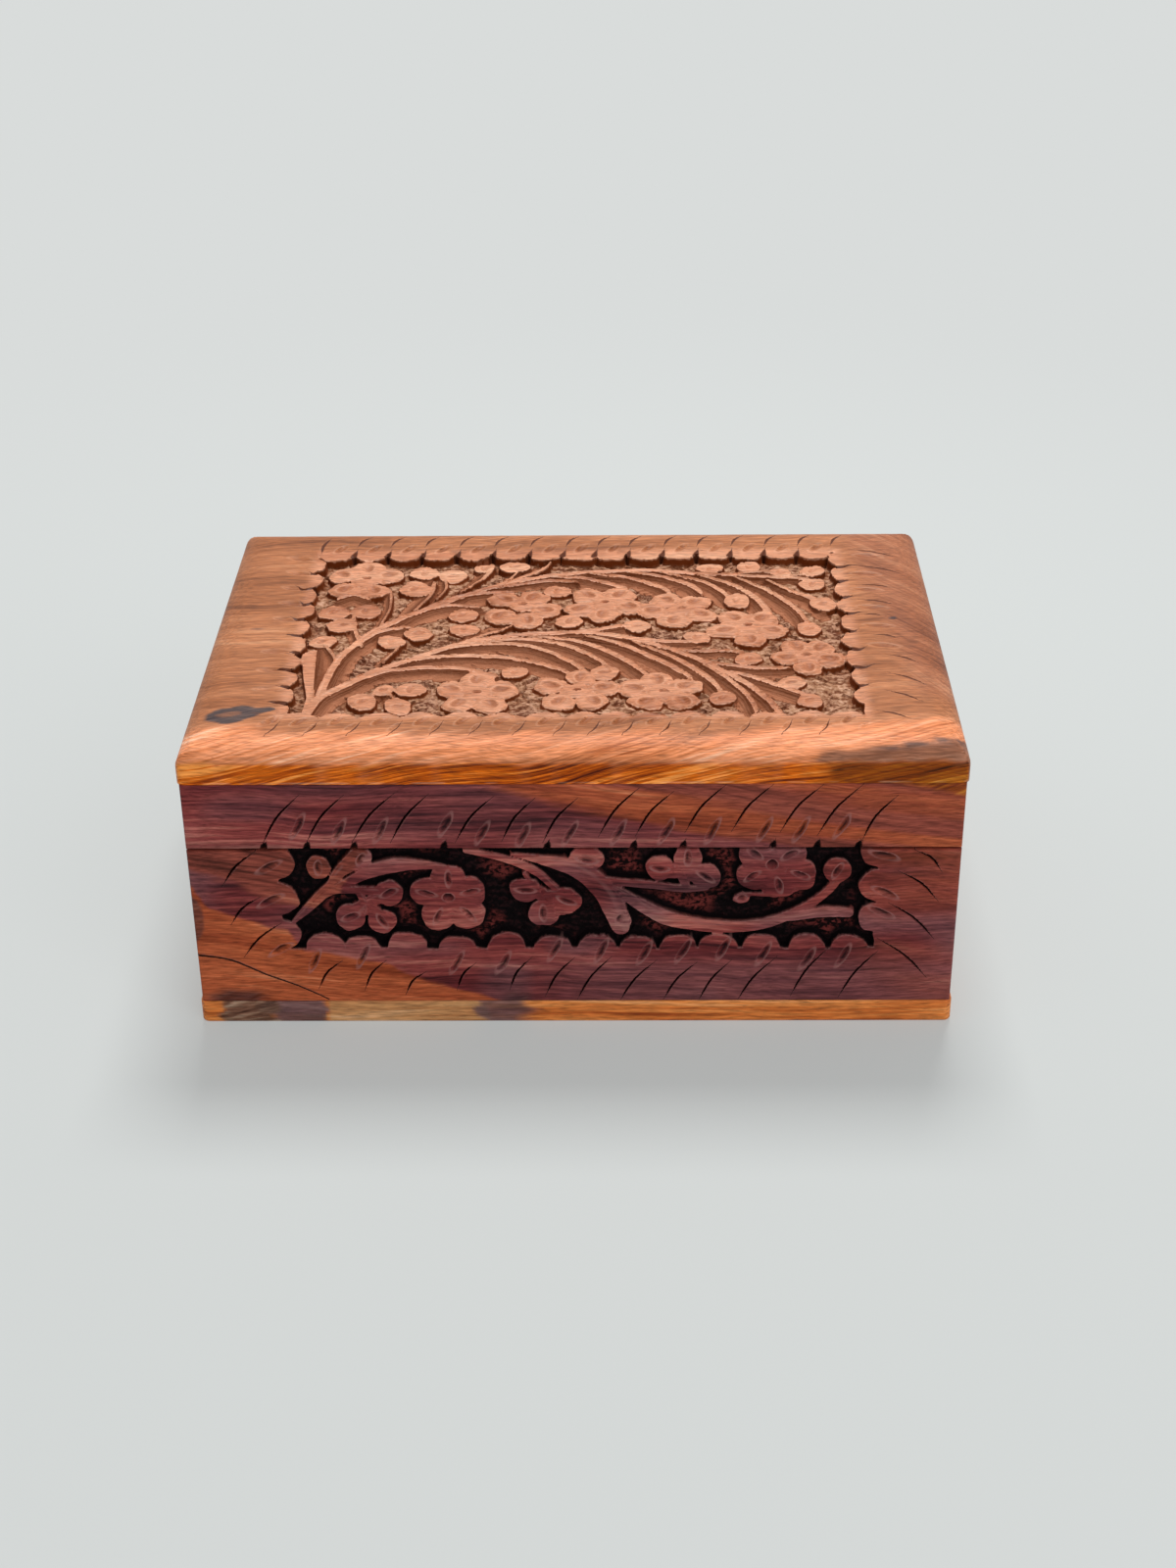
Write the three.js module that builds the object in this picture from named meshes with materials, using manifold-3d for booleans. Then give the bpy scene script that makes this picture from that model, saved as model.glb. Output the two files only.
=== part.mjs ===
// Carved wooden trinket box with a lid on two brass butt hinges.
// Millimetres, +Z up, front towards -Y, origin under the middle of the base.

import * as THREE from 'three';
import { mergeVertices } from 'three/addons/utils/BufferGeometryUtils.js';
import Module from 'manifold-3d';

const wasm = await Module();
wasm.setup();

// Driving dimensions of the box
const boxWidth = 152;
const boxDepth = 103;
const baseThickness = 5;
const bodyWallHeight = 35.75;
const seamGap = 0.5;
const lidRailHeight = 14.5;
const lidPanelThickness = 7.75;
const wallThickness = 9;
const sideBoardProud = 0.5;
const boardCornerRadius = 1.5;
const boardCornerSteps = 3;
const panelRoundWidth = 7;
const panelRoundHeight = 4.25;

// Driving dimensions of the linings
const liningThickness = 1.5;
const liningBelowRim = 2;
const liningClearance = 0.3;

// Driving dimensions of the hinges
const hingeLength = 25;
const hingeInFromEnd = 32;
const hingeInset = 2;
const lidOpenAngle = 100;
const lidStopSlack = 3;
const leafThickness = 0.9;
const leafReach = 6;
const knuckleRadius = 1.7;
const knuckleGap = 0.3;
const pinRadius = 0.75;
const pinClearance = 0.2;
const mortiseClearance = 0.3;

// Driving dimensions of the hinge screws
const screwRadius = 0.9;
const screwHeadRadius = 1.75;
const screwHeadDepth = 0.7;
const screwLength = 7;
const screwFromEnd = 5;
const screwFromAxis = 3.8;
const screwClearance = 0.15;
const screwSlotWidth = 0.5;
const screwSlotDepth = 0.35;

// Driving dimensions of the carving
const carvingDepth = 2;
const scallopPitch = 7.75;
const scallopHeight = 2.6;
const scallopCornerGap = 0.6;
const topMarginSide = 20;
const topMarginFront = 13.5;
const topMarginBack = 16.5;
const wallMarginSide = 20.5;
const wallMarginBottom = 13;
const sideMarginEnd = 12;

// Worked-out places
const seamZ = baseThickness + bodyWallHeight + seamGap / 2;
const hingeY = boxDepth / 2 - hingeInset;
const hingeX = boxWidth / 2 - hingeInFromEnd;
const bevelAngle = THREE.MathUtils.degToRad((lidOpenAngle + lidStopSlack) / 2);
const longBoard = boxWidth - 2 * sideBoardProud;
const shortBoard = boxDepth - 2 * wallThickness;
const insideWidth = boxWidth - 2 * wallThickness;
const insideDepth = shortBoard;
const screwSpacing = hingeLength - 2 * screwFromEnd;
const cutOver = 1;

// Finishes
const finishes = {
  panelWood: { color: 0xb5694a, roughness: 0.55, metalness: 0 },
  darkWood: { color: 0x6a3432, roughness: 0.5, metalness: 0 },
  sideWood: { color: 0x7d4234, roughness: 0.52, metalness: 0 },
  baseWood: { color: 0xa9643c, roughness: 0.6, metalness: 0 },
  velvet: { color: 0x5e1420, roughness: 0.95, metalness: 0 },
  brass: { color: 0xb4924c, roughness: 0.38, metalness: 1 },
  steel: { color: 0x9a958a, roughness: 0.4, metalness: 1 },
};

function namedMesh(name, geometry, finish) {
  const mesh = new THREE.Mesh(geometry, new THREE.MeshStandardMaterial(finish));
  mesh.name = name;
  return mesh;
}

// Solids and booleans

function toManifold(geometry) {
  const bare = geometry.clone();
  bare.deleteAttribute('normal');
  bare.deleteAttribute('uv');
  const merged = mergeVertices(bare, 1e-5);
  return new wasm.Manifold(new wasm.Mesh({
    numProp: 3,
    vertProperties: new Float32Array(merged.attributes.position.array),
    triVerts: new Uint32Array(merged.index.array),
  }));
}

function toGeometry(manifold) {
  const mesh = manifold.getMesh();
  const geometry = new THREE.BufferGeometry();
  geometry.setAttribute('position', new THREE.BufferAttribute(mesh.vertProperties, 3));
  geometry.setIndex(new THREE.BufferAttribute(mesh.triVerts, 1));
  geometry.computeVertexNormals();
  return geometry;
}

function joined(geometries) {
  return geometries.map(toManifold).reduce((whole, next) => whole.add(next));
}

function cutFrom(geometry, cutters) {
  const cut = cutters.reduce((rest, cutter) => rest.subtract(cutter), toManifold(geometry));
  return toGeometry(cut);
}

// A box given by its low and high corners.
function block(low, high) {
  const size = high.map((value, axis) => value - low[axis]);
  const middle = high.map((value, axis) => (value + low[axis]) / 2);
  return new THREE.BoxGeometry(...size).translate(...middle);
}

// A cylinder along Z between two heights.
function rod(radius, fromZ, toZ, sides = 16) {
  const cylinder = new THREE.CylinderGeometry(radius, radius, toZ - fromZ, sides);
  return cylinder.rotateX(Math.PI / 2).translate(0, 0, (fromZ + toZ) / 2);
}

// A profile drawn in Y and Z, drawn out along X about the middle.
function alongX(shape, length) {
  const profile = new THREE.ExtrudeGeometry(shape, { depth: length, bevelEnabled: false });
  const turn = new THREE.Matrix4().makeBasis(
    new THREE.Vector3(0, 1, 0),
    new THREE.Vector3(0, 0, 1),
    new THREE.Vector3(1, 0, 0),
  );
  return profile.applyMatrix4(turn).translate(-length / 2, 0, 0);
}

// A rounded rectangle's corner points, anticlockwise.
function roundedRing(width, depth, radius, segments) {
  const ring = [];
  const corners = [[1, 1], [-1, 1], [-1, -1], [1, -1]];
  corners.forEach(([signX, signY], quarter) => {
    for (let step = 0; step <= segments; step += 1) {
      const angle = (quarter + step / segments) * Math.PI / 2;
      ring.push(new THREE.Vector2(
        signX * (width / 2 - radius) + radius * Math.cos(angle),
        signY * (depth / 2 - radius) + radius * Math.sin(angle),
      ));
    }
  });
  return ring;
}

// Rings of equal counts stacked at their heights and closed at both ends.
function stackRings(rings, heights) {
  const count = rings[0].length;
  const positions = [];
  rings.forEach((ring, level) => {
    ring.forEach((point) => positions.push(point.x, point.y, heights[level]));
  });
  const index = [];
  for (let level = 0; level + 1 < rings.length; level += 1) {
    for (let place = 0; place < count; place += 1) {
      const next = (place + 1) % count;
      const low = level * count;
      const high = low + count;
      index.push(low + place, low + next, high + next);
      index.push(low + place, high + next, high + place);
    }
  }
  const top = (rings.length - 1) * count;
  for (let place = 1; place + 1 < count; place += 1) {
    index.push(0, place + 1, place);
    index.push(top, top + place, top + place + 1);
  }
  const geometry = new THREE.BufferGeometry();
  geometry.setAttribute('position', new THREE.Float32BufferAttribute(positions, 3));
  geometry.setIndex(index);
  return geometry;
}

// Carved pattern

// Outline of a recess: its edges are rows of round scallops with pointed notches between them.
// An open top leaves the upper edge straight, where the seam cuts the recess.
function scallopedField({ left, right, bottom, top, openTop = false }) {
  const corners = [[left, bottom], [right, bottom], [right, top], [left, top]];
  const stepsPerScallop = 5;
  const points = [];
  corners.forEach(([fromX, fromY], edge) => {
    const [toX, toY] = corners[(edge + 1) % 4];
    const length = Math.hypot(toX - fromX, toY - fromY);
    const inwardX = -(toY - fromY) / length;
    const inwardY = (toX - fromX) / length;
    points.push(new THREE.Vector2(fromX, fromY));
    if (openTop && edge === 2) {
      return;
    }
    const corner = (scallopHeight + scallopCornerGap) / length;
    const scallops = Math.round((1 - 2 * corner) * length / scallopPitch);
    const steps = scallops * stepsPerScallop;
    for (let step = 0; step <= steps; step += 1) {
      const along = corner + (1 - 2 * corner) * step / steps;
      const swell = Math.abs(Math.sin(step / stepsPerScallop * Math.PI));
      const inward = scallopHeight * Math.sqrt(swell);
      points.push(new THREE.Vector2(
        fromX + (toX - fromX) * along + inwardX * inward,
        fromY + (toY - fromY) * along + inwardY * inward,
      ));
    }
  });
  return new THREE.Shape(points);
}

// Five round petals about a centre.
function flower(x, y, radius, turn) {
  const steps = 25;
  const points = [];
  for (let step = 0; step < steps; step += 1) {
    const angle = (step / steps) * 2 * Math.PI;
    const petal = Math.sqrt(Math.abs(Math.cos(2.5 * (angle - turn))));
    const reach = radius * (0.6 + 0.4 * petal);
    points.push(new THREE.Vector2(x + reach * Math.cos(angle), y + reach * Math.sin(angle)));
  }
  return new THREE.Shape(points);
}

// A round or oval bud or leaf lobe.
function bud(x, y, radius, stretch = 1, turn = 0) {
  const steps = 9;
  const points = [];
  for (let step = 0; step < steps; step += 1) {
    const angle = (step / steps) * 2 * Math.PI;
    const along = radius * stretch * Math.cos(angle);
    const across = radius * Math.sin(angle);
    points.push(new THREE.Vector2(
      x + along * Math.cos(turn) - across * Math.sin(turn),
      y + along * Math.sin(turn) + across * Math.cos(turn),
    ));
  }
  return new THREE.Shape(points);
}

// A stem or narrow leaf through its points, tapering from one width to another.
function stem(places, startWidth, endWidth, steps = 8) {
  const path = new THREE.CatmullRomCurve3(places.map(([x, y]) => new THREE.Vector3(x, y, 0)));
  const leftSide = [];
  const rightSide = [];
  for (let step = 0; step <= steps; step += 1) {
    const share = step / steps;
    const point = path.getPoint(share);
    const heading = path.getTangent(share);
    const half = THREE.MathUtils.lerp(startWidth, endWidth, share) / 2;
    leftSide.push(new THREE.Vector2(point.x - heading.y * half, point.y + heading.x * half));
    rightSide.push(new THREE.Vector2(point.x + heading.y * half, point.y - heading.x * half));
  }
  return new THREE.Shape([...rightSide, ...leftSide.reverse()]);
}

// A recess cutter with its motifs left standing. It is drawn in X and Y, and its floor is at Z = 0.
function carvedRecess(field, motifs) {
  const depth = carvingDepth + cutOver;
  const hollow = toManifold(new THREE.ExtrudeGeometry(field, { depth, bevelEnabled: false }));
  const standing = joined(motifs.map((shape) => {
    const prism = new THREE.ExtrudeGeometry(shape, { depth: depth + 2 * cutOver, bevelEnabled: false });
    return prism.translate(0, 0, -cutOver);
  }));
  return hollow.subtract(standing);
}

// Moves a drawn place so that a layout drawn for one field fills another.
function fitter(drawn, field) {
  const scaleX = (field.right - field.left) / (drawn.right - drawn.left);
  const scaleY = (field.top - field.bottom) / (drawn.top - drawn.bottom);
  return ([x, y]) => [
    field.left + (x - drawn.left) * scaleX,
    field.bottom + (y - drawn.bottom) * scaleY,
  ];
}

// Drawn on the lid as it lies, from the middle of the panel.
function topMotifs(field) {
  const fit = fitter({ left: -56, right: 56, bottom: -38, top: 35 }, field);
  const flowers = [
    [-46, 26], [-11.5, 12], [6, 13], [22.5, 10], [36, 2],
    [47.5, -12], [-19.5, -28], [1, -28], [18, -28],
  ];
  const lobes = [
    [-51, 9], [-44.5, 9.5], [-48.5, 3], [-35, 20], [-32.5, 28], [-27.5, 26],
    [-41.5, -31], [-32.5, -26.5], [-34.5, -33],
  ];
  const buds = [
    [-51.5, -5.5], [-38, -5.5], [-24, 7], [-14, 31], [-4.5, 19.5], [26, -4], [35.5, -12],
    [43, -24], [46.5, -32], [-12, -19], [6, -18.5], [29, -31], [37.5, -32], [36, 13],
    [27.5, 31.5], [37.5, 31.5], [50, 22], [51, 11],
  ];
  const mainStems = [
    [[-53, -36], [-46, -10], [-28, 14], [0, 26], [30, 27], [46, 24]],
    [[-50, -36], [-36, -16.5], [-12, -4], [12, -4], [30, -18], [39, -28]],
  ];
  const branches = [
    [[-4, 26], [4, 24.5], [12, 20.5]],
    [[8, 27], [17, 24.5], [24, 18]],
    [[20, 27], [31, 20], [40, 9]],
    [[32, 26], [42, 15], [49, 1]],
    [[-43, -24], [-28, -17], [-12, -21.5]],
    [[-38, -18], [-18, -13], [0, -19.5]],
    [[-20, -7], [-6, -9.5], [4, -18]],
    [[2, -4], [14, -11], [23, -21]],
    [[18, -8], [24, -15], [29, -25]],
    [[33, -21], [38, -27], [44, -30]],
    [[-46, -10], [-46, 0], [-44.5, 7]],
    [[-36, 6], [-35, 12], [-34.5, 18]],
  ];
  return [
    ...flowers.map((place, order) => flower(...fit(place), 7, order)),
    ...lobes.map((place) => bud(...fit(place), 3.6)),
    ...buds.map((place) => bud(...fit(place), 2.4, 1.3, 0.6)),
    ...mainStems.map((places) => stem(places.map(fit), 4.5, 1.4, 12)),
    ...branches.map((places) => stem(places.map(fit), 2.2, 1.2)),
  ];
}

// Drawn on the front board from its middle, with heights from its lower edge.
function frontMotifs(field) {
  const fit = fitter({ left: -55, right: 56, bottom: 13, top: 35.75 }, field);
  const flowers = [[-25, 24.5], [38.5, 30.5]];
  const lobes = [
    [-45, 21], [-38.5, 19.5], [-37.5, 25.5], [-8.5, 27], [-6.5, 21.5], [-1.5, 24],
    [17, 31.5], [22.5, 33], [26, 29],
  ];
  const buds = [[-50, 32], [3.5, 33], [9, 19.5], [51, 30.5], [48, 22.5]];
  const vines = [
    [[-54, 20], [-46, 29], [-38, 34], [-24, 33.5]],
    [[-17, 36], [0, 28.5], [8, 18.5]],
    [[-10, 34], [8, 26.5], [24, 19], [50, 22.5]],
  ];
  return [
    ...flowers.map((place, order) => flower(...fit(place), 6.6, order)),
    ...lobes.map((place) => bud(...fit(place), 3.2)),
    ...buds.map((place) => bud(...fit(place), 2.2, 1.3, 0.8)),
    ...vines.map((places) => stem(places.map(fit), 2.6, 1.4)),
  ];
}

// Drawn on an end board from its middle, with heights from its lower edge.
function endMotifs(field) {
  const fit = fitter({ left: -30.5, right: 30.5, bottom: 13, top: 35.75 }, field);
  const flowers = [[-9, 25], [16, 26]];
  const lobes = [[-24, 20], [-19.5, 25], [1.5, 20], [5, 25]];
  const vines = [
    [[-28, 22], [-20, 30], [-10, 33.5], [2, 32]],
    [[0, 33], [8, 27], [16, 19], [25, 21]],
  ];
  return [
    ...flowers.map((place, order) => flower(...fit(place), 6.2, order)),
    ...lobes.map((place) => bud(...fit(place), 3)),
    ...vines.map((places) => stem(places.map(fit), 2.4, 1.4)),
  ];
}

// A recess for an upright board whose outer face is at Y = 0 and whose lower edge is at Z = 0.
// It breaks out through the board's upper edge.
function uprightRecess(length, endMargin, motifsFor) {
  const field = {
    left: endMargin - length / 2,
    right: length / 2 - endMargin,
    bottom: wallMarginBottom,
    top: bodyWallHeight,
  };
  const motifs = motifsFor(field);
  const outline = scallopedField({ ...field, top: field.top + cutOver, openTop: true });
  return carvedRecess(outline, motifs).rotate([90, 0, 0]).translate([0, carvingDepth, 0]);
}

// Boards of the body

function baseBoard() {
  const outline = new THREE.Shape(roundedRing(boxWidth, boxDepth, boardCornerRadius, boardCornerSteps));
  return new THREE.ExtrudeGeometry(outline, { depth: baseThickness, bevelEnabled: false });
}

// Each upright board stands on Z = 0 with its outer face at Y = 0 and its inner face behind.
function frontBoard() {
  const board = block([-longBoard / 2, 0, 0], [longBoard / 2, wallThickness, bodyWallHeight]);
  return cutFrom(board, [uprightRecess(longBoard, wallMarginSide, frontMotifs)]);
}

function endBoard() {
  const board = block([-shortBoard / 2, 0, 0], [shortBoard / 2, wallThickness, bodyWallHeight]);
  return cutFrom(board, [uprightRecess(shortBoard, sideMarginEnd, endMotifs)]);
}

// The back board and the lid's back rail, drawn about the hinge axis with the board below it.
// The bevel's plane runs through the axis, so that the two bevels meet when the lid is open.
function hingedBoard(height) {
  const rim = -seamGap / 2;
  const inner = hingeInset - wallThickness;
  const bevelStart = Math.abs(rim) / Math.tan(bevelAngle);
  const profile = new THREE.Shape([
    new THREE.Vector2(inner, rim - height),
    new THREE.Vector2(hingeInset, rim - height),
    new THREE.Vector2(hingeInset, -hingeInset * Math.tan(bevelAngle)),
    new THREE.Vector2(bevelStart, rim),
    new THREE.Vector2(inner, rim),
  ]);
  const mortiseHalf = hingeLength / 2 + mortiseClearance;
  const mortiseFloor = rim - leafThickness - mortiseClearance;
  const cutters = [];
  for (const side of [-1, 1]) {
    const mortise = block(
      [-mortiseHalf, -leafReach - mortiseClearance, mortiseFloor],
      [mortiseHalf, 0, cutOver],
    );
    const knuckleRoom = new THREE.CylinderGeometry(
      knuckleRadius + mortiseClearance,
      knuckleRadius + mortiseClearance,
      2 * mortiseHalf,
      24,
    ).rotateZ(Math.PI / 2);
    cutters.push(joined([mortise, knuckleRoom]).translate([side * hingeX, 0, 0]));
    for (const end of [-1, 1]) {
      const pilot = rod(screwRadius + screwClearance, rim - screwLength - screwClearance, 0);
      pilot.translate(side * hingeX + end * screwSpacing / 2, -screwFromAxis, 0);
      cutters.push(toManifold(pilot));
    }
  }
  return cutFrom(alongX(profile, longBoard), cutters);
}

// Boards of the lid

function railBlock(length) {
  return block([-length / 2, 0, 0], [length / 2, wallThickness, lidRailHeight]);
}

// The panel's upper edges are rounded, and its face carries the main carving.
function lidPanel() {
  const roundSteps = 5;
  const rings = [roundedRing(boxWidth, boxDepth, boardCornerRadius, boardCornerSteps)];
  const heights = [0];
  for (let step = 0; step <= roundSteps; step += 1) {
    const angle = (step / roundSteps) * Math.PI / 2;
    const inset = panelRoundWidth * (1 - Math.cos(angle));
    const width = boxWidth - 2 * inset;
    const depth = boxDepth - 2 * inset;
    rings.push(roundedRing(width, depth, boardCornerRadius, boardCornerSteps));
    heights.push(lidPanelThickness - panelRoundHeight * (1 - Math.sin(angle)));
  }
  const field = {
    left: topMarginSide - boxWidth / 2,
    right: boxWidth / 2 - topMarginSide,
    bottom: topMarginFront - boxDepth / 2,
    top: boxDepth / 2 - topMarginBack,
  };
  const recess = carvedRecess(scallopedField(field), topMotifs(field));
  const floor = lidPanelThickness - carvingDepth;
  return cutFrom(stackRings(rings, heights), [recess.translate([0, 0, floor])]);
}

// Hinge parts, drawn about the hinge axis with the leaf towards -Y and below the axis

function leafWithKnuckles(knuckles) {
  const top = -seamGap / 2;
  const plate = block([-hingeLength / 2, -leafReach, top - leafThickness], [hingeLength / 2, 0, top]);
  const keptPlate = toManifold(plate);
  const barrel = new THREE.Shape().absarc(0, 0, knuckleRadius, 0, 2 * Math.PI);
  const bore = alongX(
    new THREE.Shape().absarc(0, 0, pinRadius + pinClearance, 0, 2 * Math.PI),
    hingeLength + 2 * cutOver,
  );
  let leaf = keptPlate;
  for (const [from, to] of knuckles.own) {
    const length = to - from;
    leaf = leaf.add(toManifold(alongX(barrel, length).translate((from + to) / 2, 0, 0)));
  }
  for (const [from, to] of knuckles.others) {
    const room = knuckleRadius + knuckleGap;
    leaf = leaf.subtract(toManifold(block(
      [from - knuckleGap, -room, top - leafThickness - cutOver],
      [to + knuckleGap, room, room],
    )));
  }
  leaf = leaf.subtract(toManifold(bore));
  for (const end of [-1, 1]) {
    const sink = new THREE.CylinderGeometry(
      screwHeadRadius + screwClearance,
      screwRadius + screwClearance,
      screwHeadDepth,
      24,
    ).rotateX(Math.PI / 2).translate(0, 0, top - screwHeadDepth / 2);
    const above = rod(screwHeadRadius + screwClearance, top, top + cutOver, 24);
    const through = rod(screwRadius + screwClearance, top - leafThickness - cutOver, top, 24);
    const hole = joined([sink, above, through]);
    leaf = leaf.subtract(hole.translate([end * screwSpacing / 2, -screwFromAxis, 0]));
  }
  return toGeometry(leaf);
}

// The body leaf holds the two outer knuckles and the lid leaf the middle one.
const outerKnuckles = [
  [-hingeLength / 2, -hingeLength / 6 - knuckleGap / 2],
  [hingeLength / 6 + knuckleGap / 2, hingeLength / 2],
];
const middleKnuckle = [[-hingeLength / 6 + knuckleGap / 2, hingeLength / 6 - knuckleGap / 2]];

function hingePin() {
  return new THREE.CylinderGeometry(pinRadius, pinRadius, hingeLength, 16).rotateZ(Math.PI / 2);
}

// A slotted countersunk screw with its head's face at Z = 0 and its point below.
function screw() {
  const tip = screwRadius * 2;
  const body = new THREE.LatheGeometry([
    new THREE.Vector2(0, -screwLength),
    new THREE.Vector2(screwRadius, -screwLength + tip),
    new THREE.Vector2(screwRadius, -screwHeadDepth),
    new THREE.Vector2(screwHeadRadius, 0),
    new THREE.Vector2(0, 0),
  ], 16).rotateX(Math.PI / 2);
  const slot = block(
    [-screwHeadRadius - cutOver, -screwSlotWidth / 2, -screwSlotDepth],
    [screwHeadRadius + cutOver, screwSlotWidth / 2, cutOver],
  );
  return cutFrom(body, [toManifold(slot)]);
}

// Linings of velvet over card

function liningCard(width, height) {
  return block([-width / 2, 0, 0], [width / 2, liningThickness, height]);
}

// Assembly of the body

const box = new THREE.Group();

const base = namedMesh('base_board', baseBoard(), finishes.baseWood);
box.add(base);

const walls = new THREE.Group();
walls.position.z = baseThickness;
box.add(walls);

const frontWall = namedMesh('front_wall', frontBoard(), finishes.darkWood);
frontWall.position.y = -boxDepth / 2;
walls.add(frontWall);

const backWall = namedMesh('back_wall', hingedBoard(bodyWallHeight), finishes.sideWood);
backWall.position.set(0, hingeY, seamZ - baseThickness);
walls.add(backWall);

for (const [name, side] of [['left_wall', -1], ['right_wall', 1]]) {
  const wall = namedMesh(name, endBoard(), finishes.sideWood);
  wall.position.x = side * boxWidth / 2;
  wall.rotation.z = side * Math.PI / 2;
  walls.add(wall);
}

const floorLining = namedMesh('floor_lining', block(
  [liningClearance - insideWidth / 2, liningClearance - insideDepth / 2, 0],
  [insideWidth / 2 - liningClearance, insideDepth / 2 - liningClearance, liningThickness],
), finishes.velvet);
walls.add(floorLining);

const wallLiningHeight = bodyWallHeight - liningThickness - liningBelowRim;
const longLining = insideWidth - 2 * liningClearance;
const shortLining = insideDepth - 2 * (2 * liningClearance + liningThickness);
const wallLinings = [
  ['front_lining', longLining, [0, -insideDepth / 2 + liningClearance], 0],
  ['back_lining', longLining, [0, insideDepth / 2 - liningClearance], Math.PI],
  ['left_lining', shortLining, [-insideWidth / 2 + liningClearance, 0], -Math.PI / 2],
  ['right_lining', shortLining, [insideWidth / 2 - liningClearance, 0], Math.PI / 2],
];
for (const [name, length, [x, y], turn] of wallLinings) {
  const lining = namedMesh(name, liningCard(length, wallLiningHeight), finishes.velvet);
  lining.position.set(x, y, liningThickness + liningClearance / 2);
  lining.rotation.z = turn;
  walls.add(lining);
}

// Assembly of the lid, which turns about the hinge axis

const lid = new THREE.Group();
lid.position.set(0, hingeY, seamZ);

const lidFloor = seamGap / 2;
const frontRail = namedMesh('lid_front_rail', railBlock(longBoard), finishes.darkWood);
frontRail.position.set(0, -boxDepth / 2 - hingeY, lidFloor);
lid.add(frontRail);

const backRail = namedMesh('lid_back_rail', hingedBoard(lidRailHeight), finishes.sideWood);
backRail.geometry.scale(1, 1, -1);
backRail.geometry.index.array.reverse();
lid.add(backRail);

for (const [name, side] of [['lid_left_rail', -1], ['lid_right_rail', 1]]) {
  const rail = namedMesh(name, railBlock(shortBoard), finishes.sideWood);
  rail.position.set(side * boxWidth / 2, -hingeY, lidFloor);
  rail.rotation.z = side * Math.PI / 2;
  lid.add(rail);
}

const panel = namedMesh('lid_top_panel', lidPanel(), finishes.panelWood);
panel.position.set(0, -hingeY, lidFloor + lidRailHeight);
lid.add(panel);

const lidLining = namedMesh('lid_lining', block(
  [liningClearance - insideWidth / 2, liningClearance - insideDepth / 2, -liningThickness],
  [insideWidth / 2 - liningClearance, insideDepth / 2 - liningClearance, 0],
), finishes.velvet);
lidLining.position.copy(panel.position);
lid.add(lidLining);

// Hinges, each in a group at its middle on the axis

const hardware = new THREE.Group();
hardware.position.set(0, hingeY, seamZ);

for (const [sideName, side] of [['left', -1], ['right', 1]]) {
  const hinge = new THREE.Group();
  hinge.position.x = side * hingeX;
  hardware.add(hinge);

  const bodyLeaf = leafWithKnuckles({ own: outerKnuckles, others: middleKnuckle });
  hinge.add(namedMesh(`${sideName}_hinge_body_leaf`, bodyLeaf, finishes.brass));

  const lidLeaf = leafWithKnuckles({ own: middleKnuckle, others: outerKnuckles });
  lidLeaf.scale(1, 1, -1);
  lidLeaf.index.array.reverse();
  hinge.add(namedMesh(`${sideName}_hinge_lid_leaf`, lidLeaf, finishes.brass));

  hinge.add(namedMesh(`${sideName}_hinge_pin`, hingePin(), finishes.steel));

  for (const [endName, end] of [['outer', side], ['inner', -side]]) {
    for (const [partName, upsideDown] of [['body', false], ['lid', true]]) {
      const fixing = namedMesh(`${sideName}_${partName}_screw_${endName}`, screw(), finishes.brass);
      const headHeight = upsideDown ? seamGap / 2 : -seamGap / 2;
      fixing.position.set(end * screwSpacing / 2, -screwFromAxis, headHeight);
      fixing.rotation.x = upsideDown ? Math.PI : 0;
      hinge.add(fixing);
    }
  }
}

const trinketBox = new THREE.Group();
trinketBox.add(box, lid, hardware);

export default trinketBox;
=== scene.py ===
"""Carved wooden trinket box with velvet linings and brass hinges, and its floor, lights and camera."""

from __future__ import annotations

import logging
import math
from dataclasses import dataclass, field, replace
from enum import Enum
from itertools import pairwise
from typing import Sequence

import bmesh
import bpy
import numpy as np
from bmesh.types import BMEdge, BMVert, BMesh
from bpy.types import Material, Mesh, Node, NodeSocket, Object, World
from mathutils import Matrix, Vector


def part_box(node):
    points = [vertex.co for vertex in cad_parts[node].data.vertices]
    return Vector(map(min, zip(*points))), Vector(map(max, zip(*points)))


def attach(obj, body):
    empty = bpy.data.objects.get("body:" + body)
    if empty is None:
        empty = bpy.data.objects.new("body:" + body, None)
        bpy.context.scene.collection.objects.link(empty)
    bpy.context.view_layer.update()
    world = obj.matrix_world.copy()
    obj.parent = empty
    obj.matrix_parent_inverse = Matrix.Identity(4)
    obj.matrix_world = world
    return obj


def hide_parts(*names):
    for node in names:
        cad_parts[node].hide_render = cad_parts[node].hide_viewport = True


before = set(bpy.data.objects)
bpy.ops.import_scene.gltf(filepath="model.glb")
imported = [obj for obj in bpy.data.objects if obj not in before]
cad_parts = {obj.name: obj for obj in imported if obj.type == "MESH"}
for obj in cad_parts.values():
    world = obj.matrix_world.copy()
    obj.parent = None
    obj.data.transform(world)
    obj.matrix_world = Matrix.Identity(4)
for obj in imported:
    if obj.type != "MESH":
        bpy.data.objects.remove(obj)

LOG = logging.getLogger("trinket_box")
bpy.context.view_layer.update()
MM = 0.001
# A distance past the end of every board, in millimetres
FAR = 1.0e3
# Keeps a division from meeting zero
TINY = 1e-6
# The place across a stroke's ridge that a motif without one gives
OFF_RIDGE = 4.0
Point = tuple[float, float]
Span = tuple[float, float, float, float]
Map = np.ndarray


class Body(Enum):
    """The two bodies that the pieces ride on."""

    BOX = "box"
    LID = "lid"


class Slot(Enum):
    """The record's material slots."""

    PANEL = "panel_wood"
    DARK = "dark_wood"
    SIDE = "side_wood"
    BASE = "base_wood"
    VELVET = "velvet"
    BRASS = "brass"
    PIN = "pin_steel"


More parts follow.
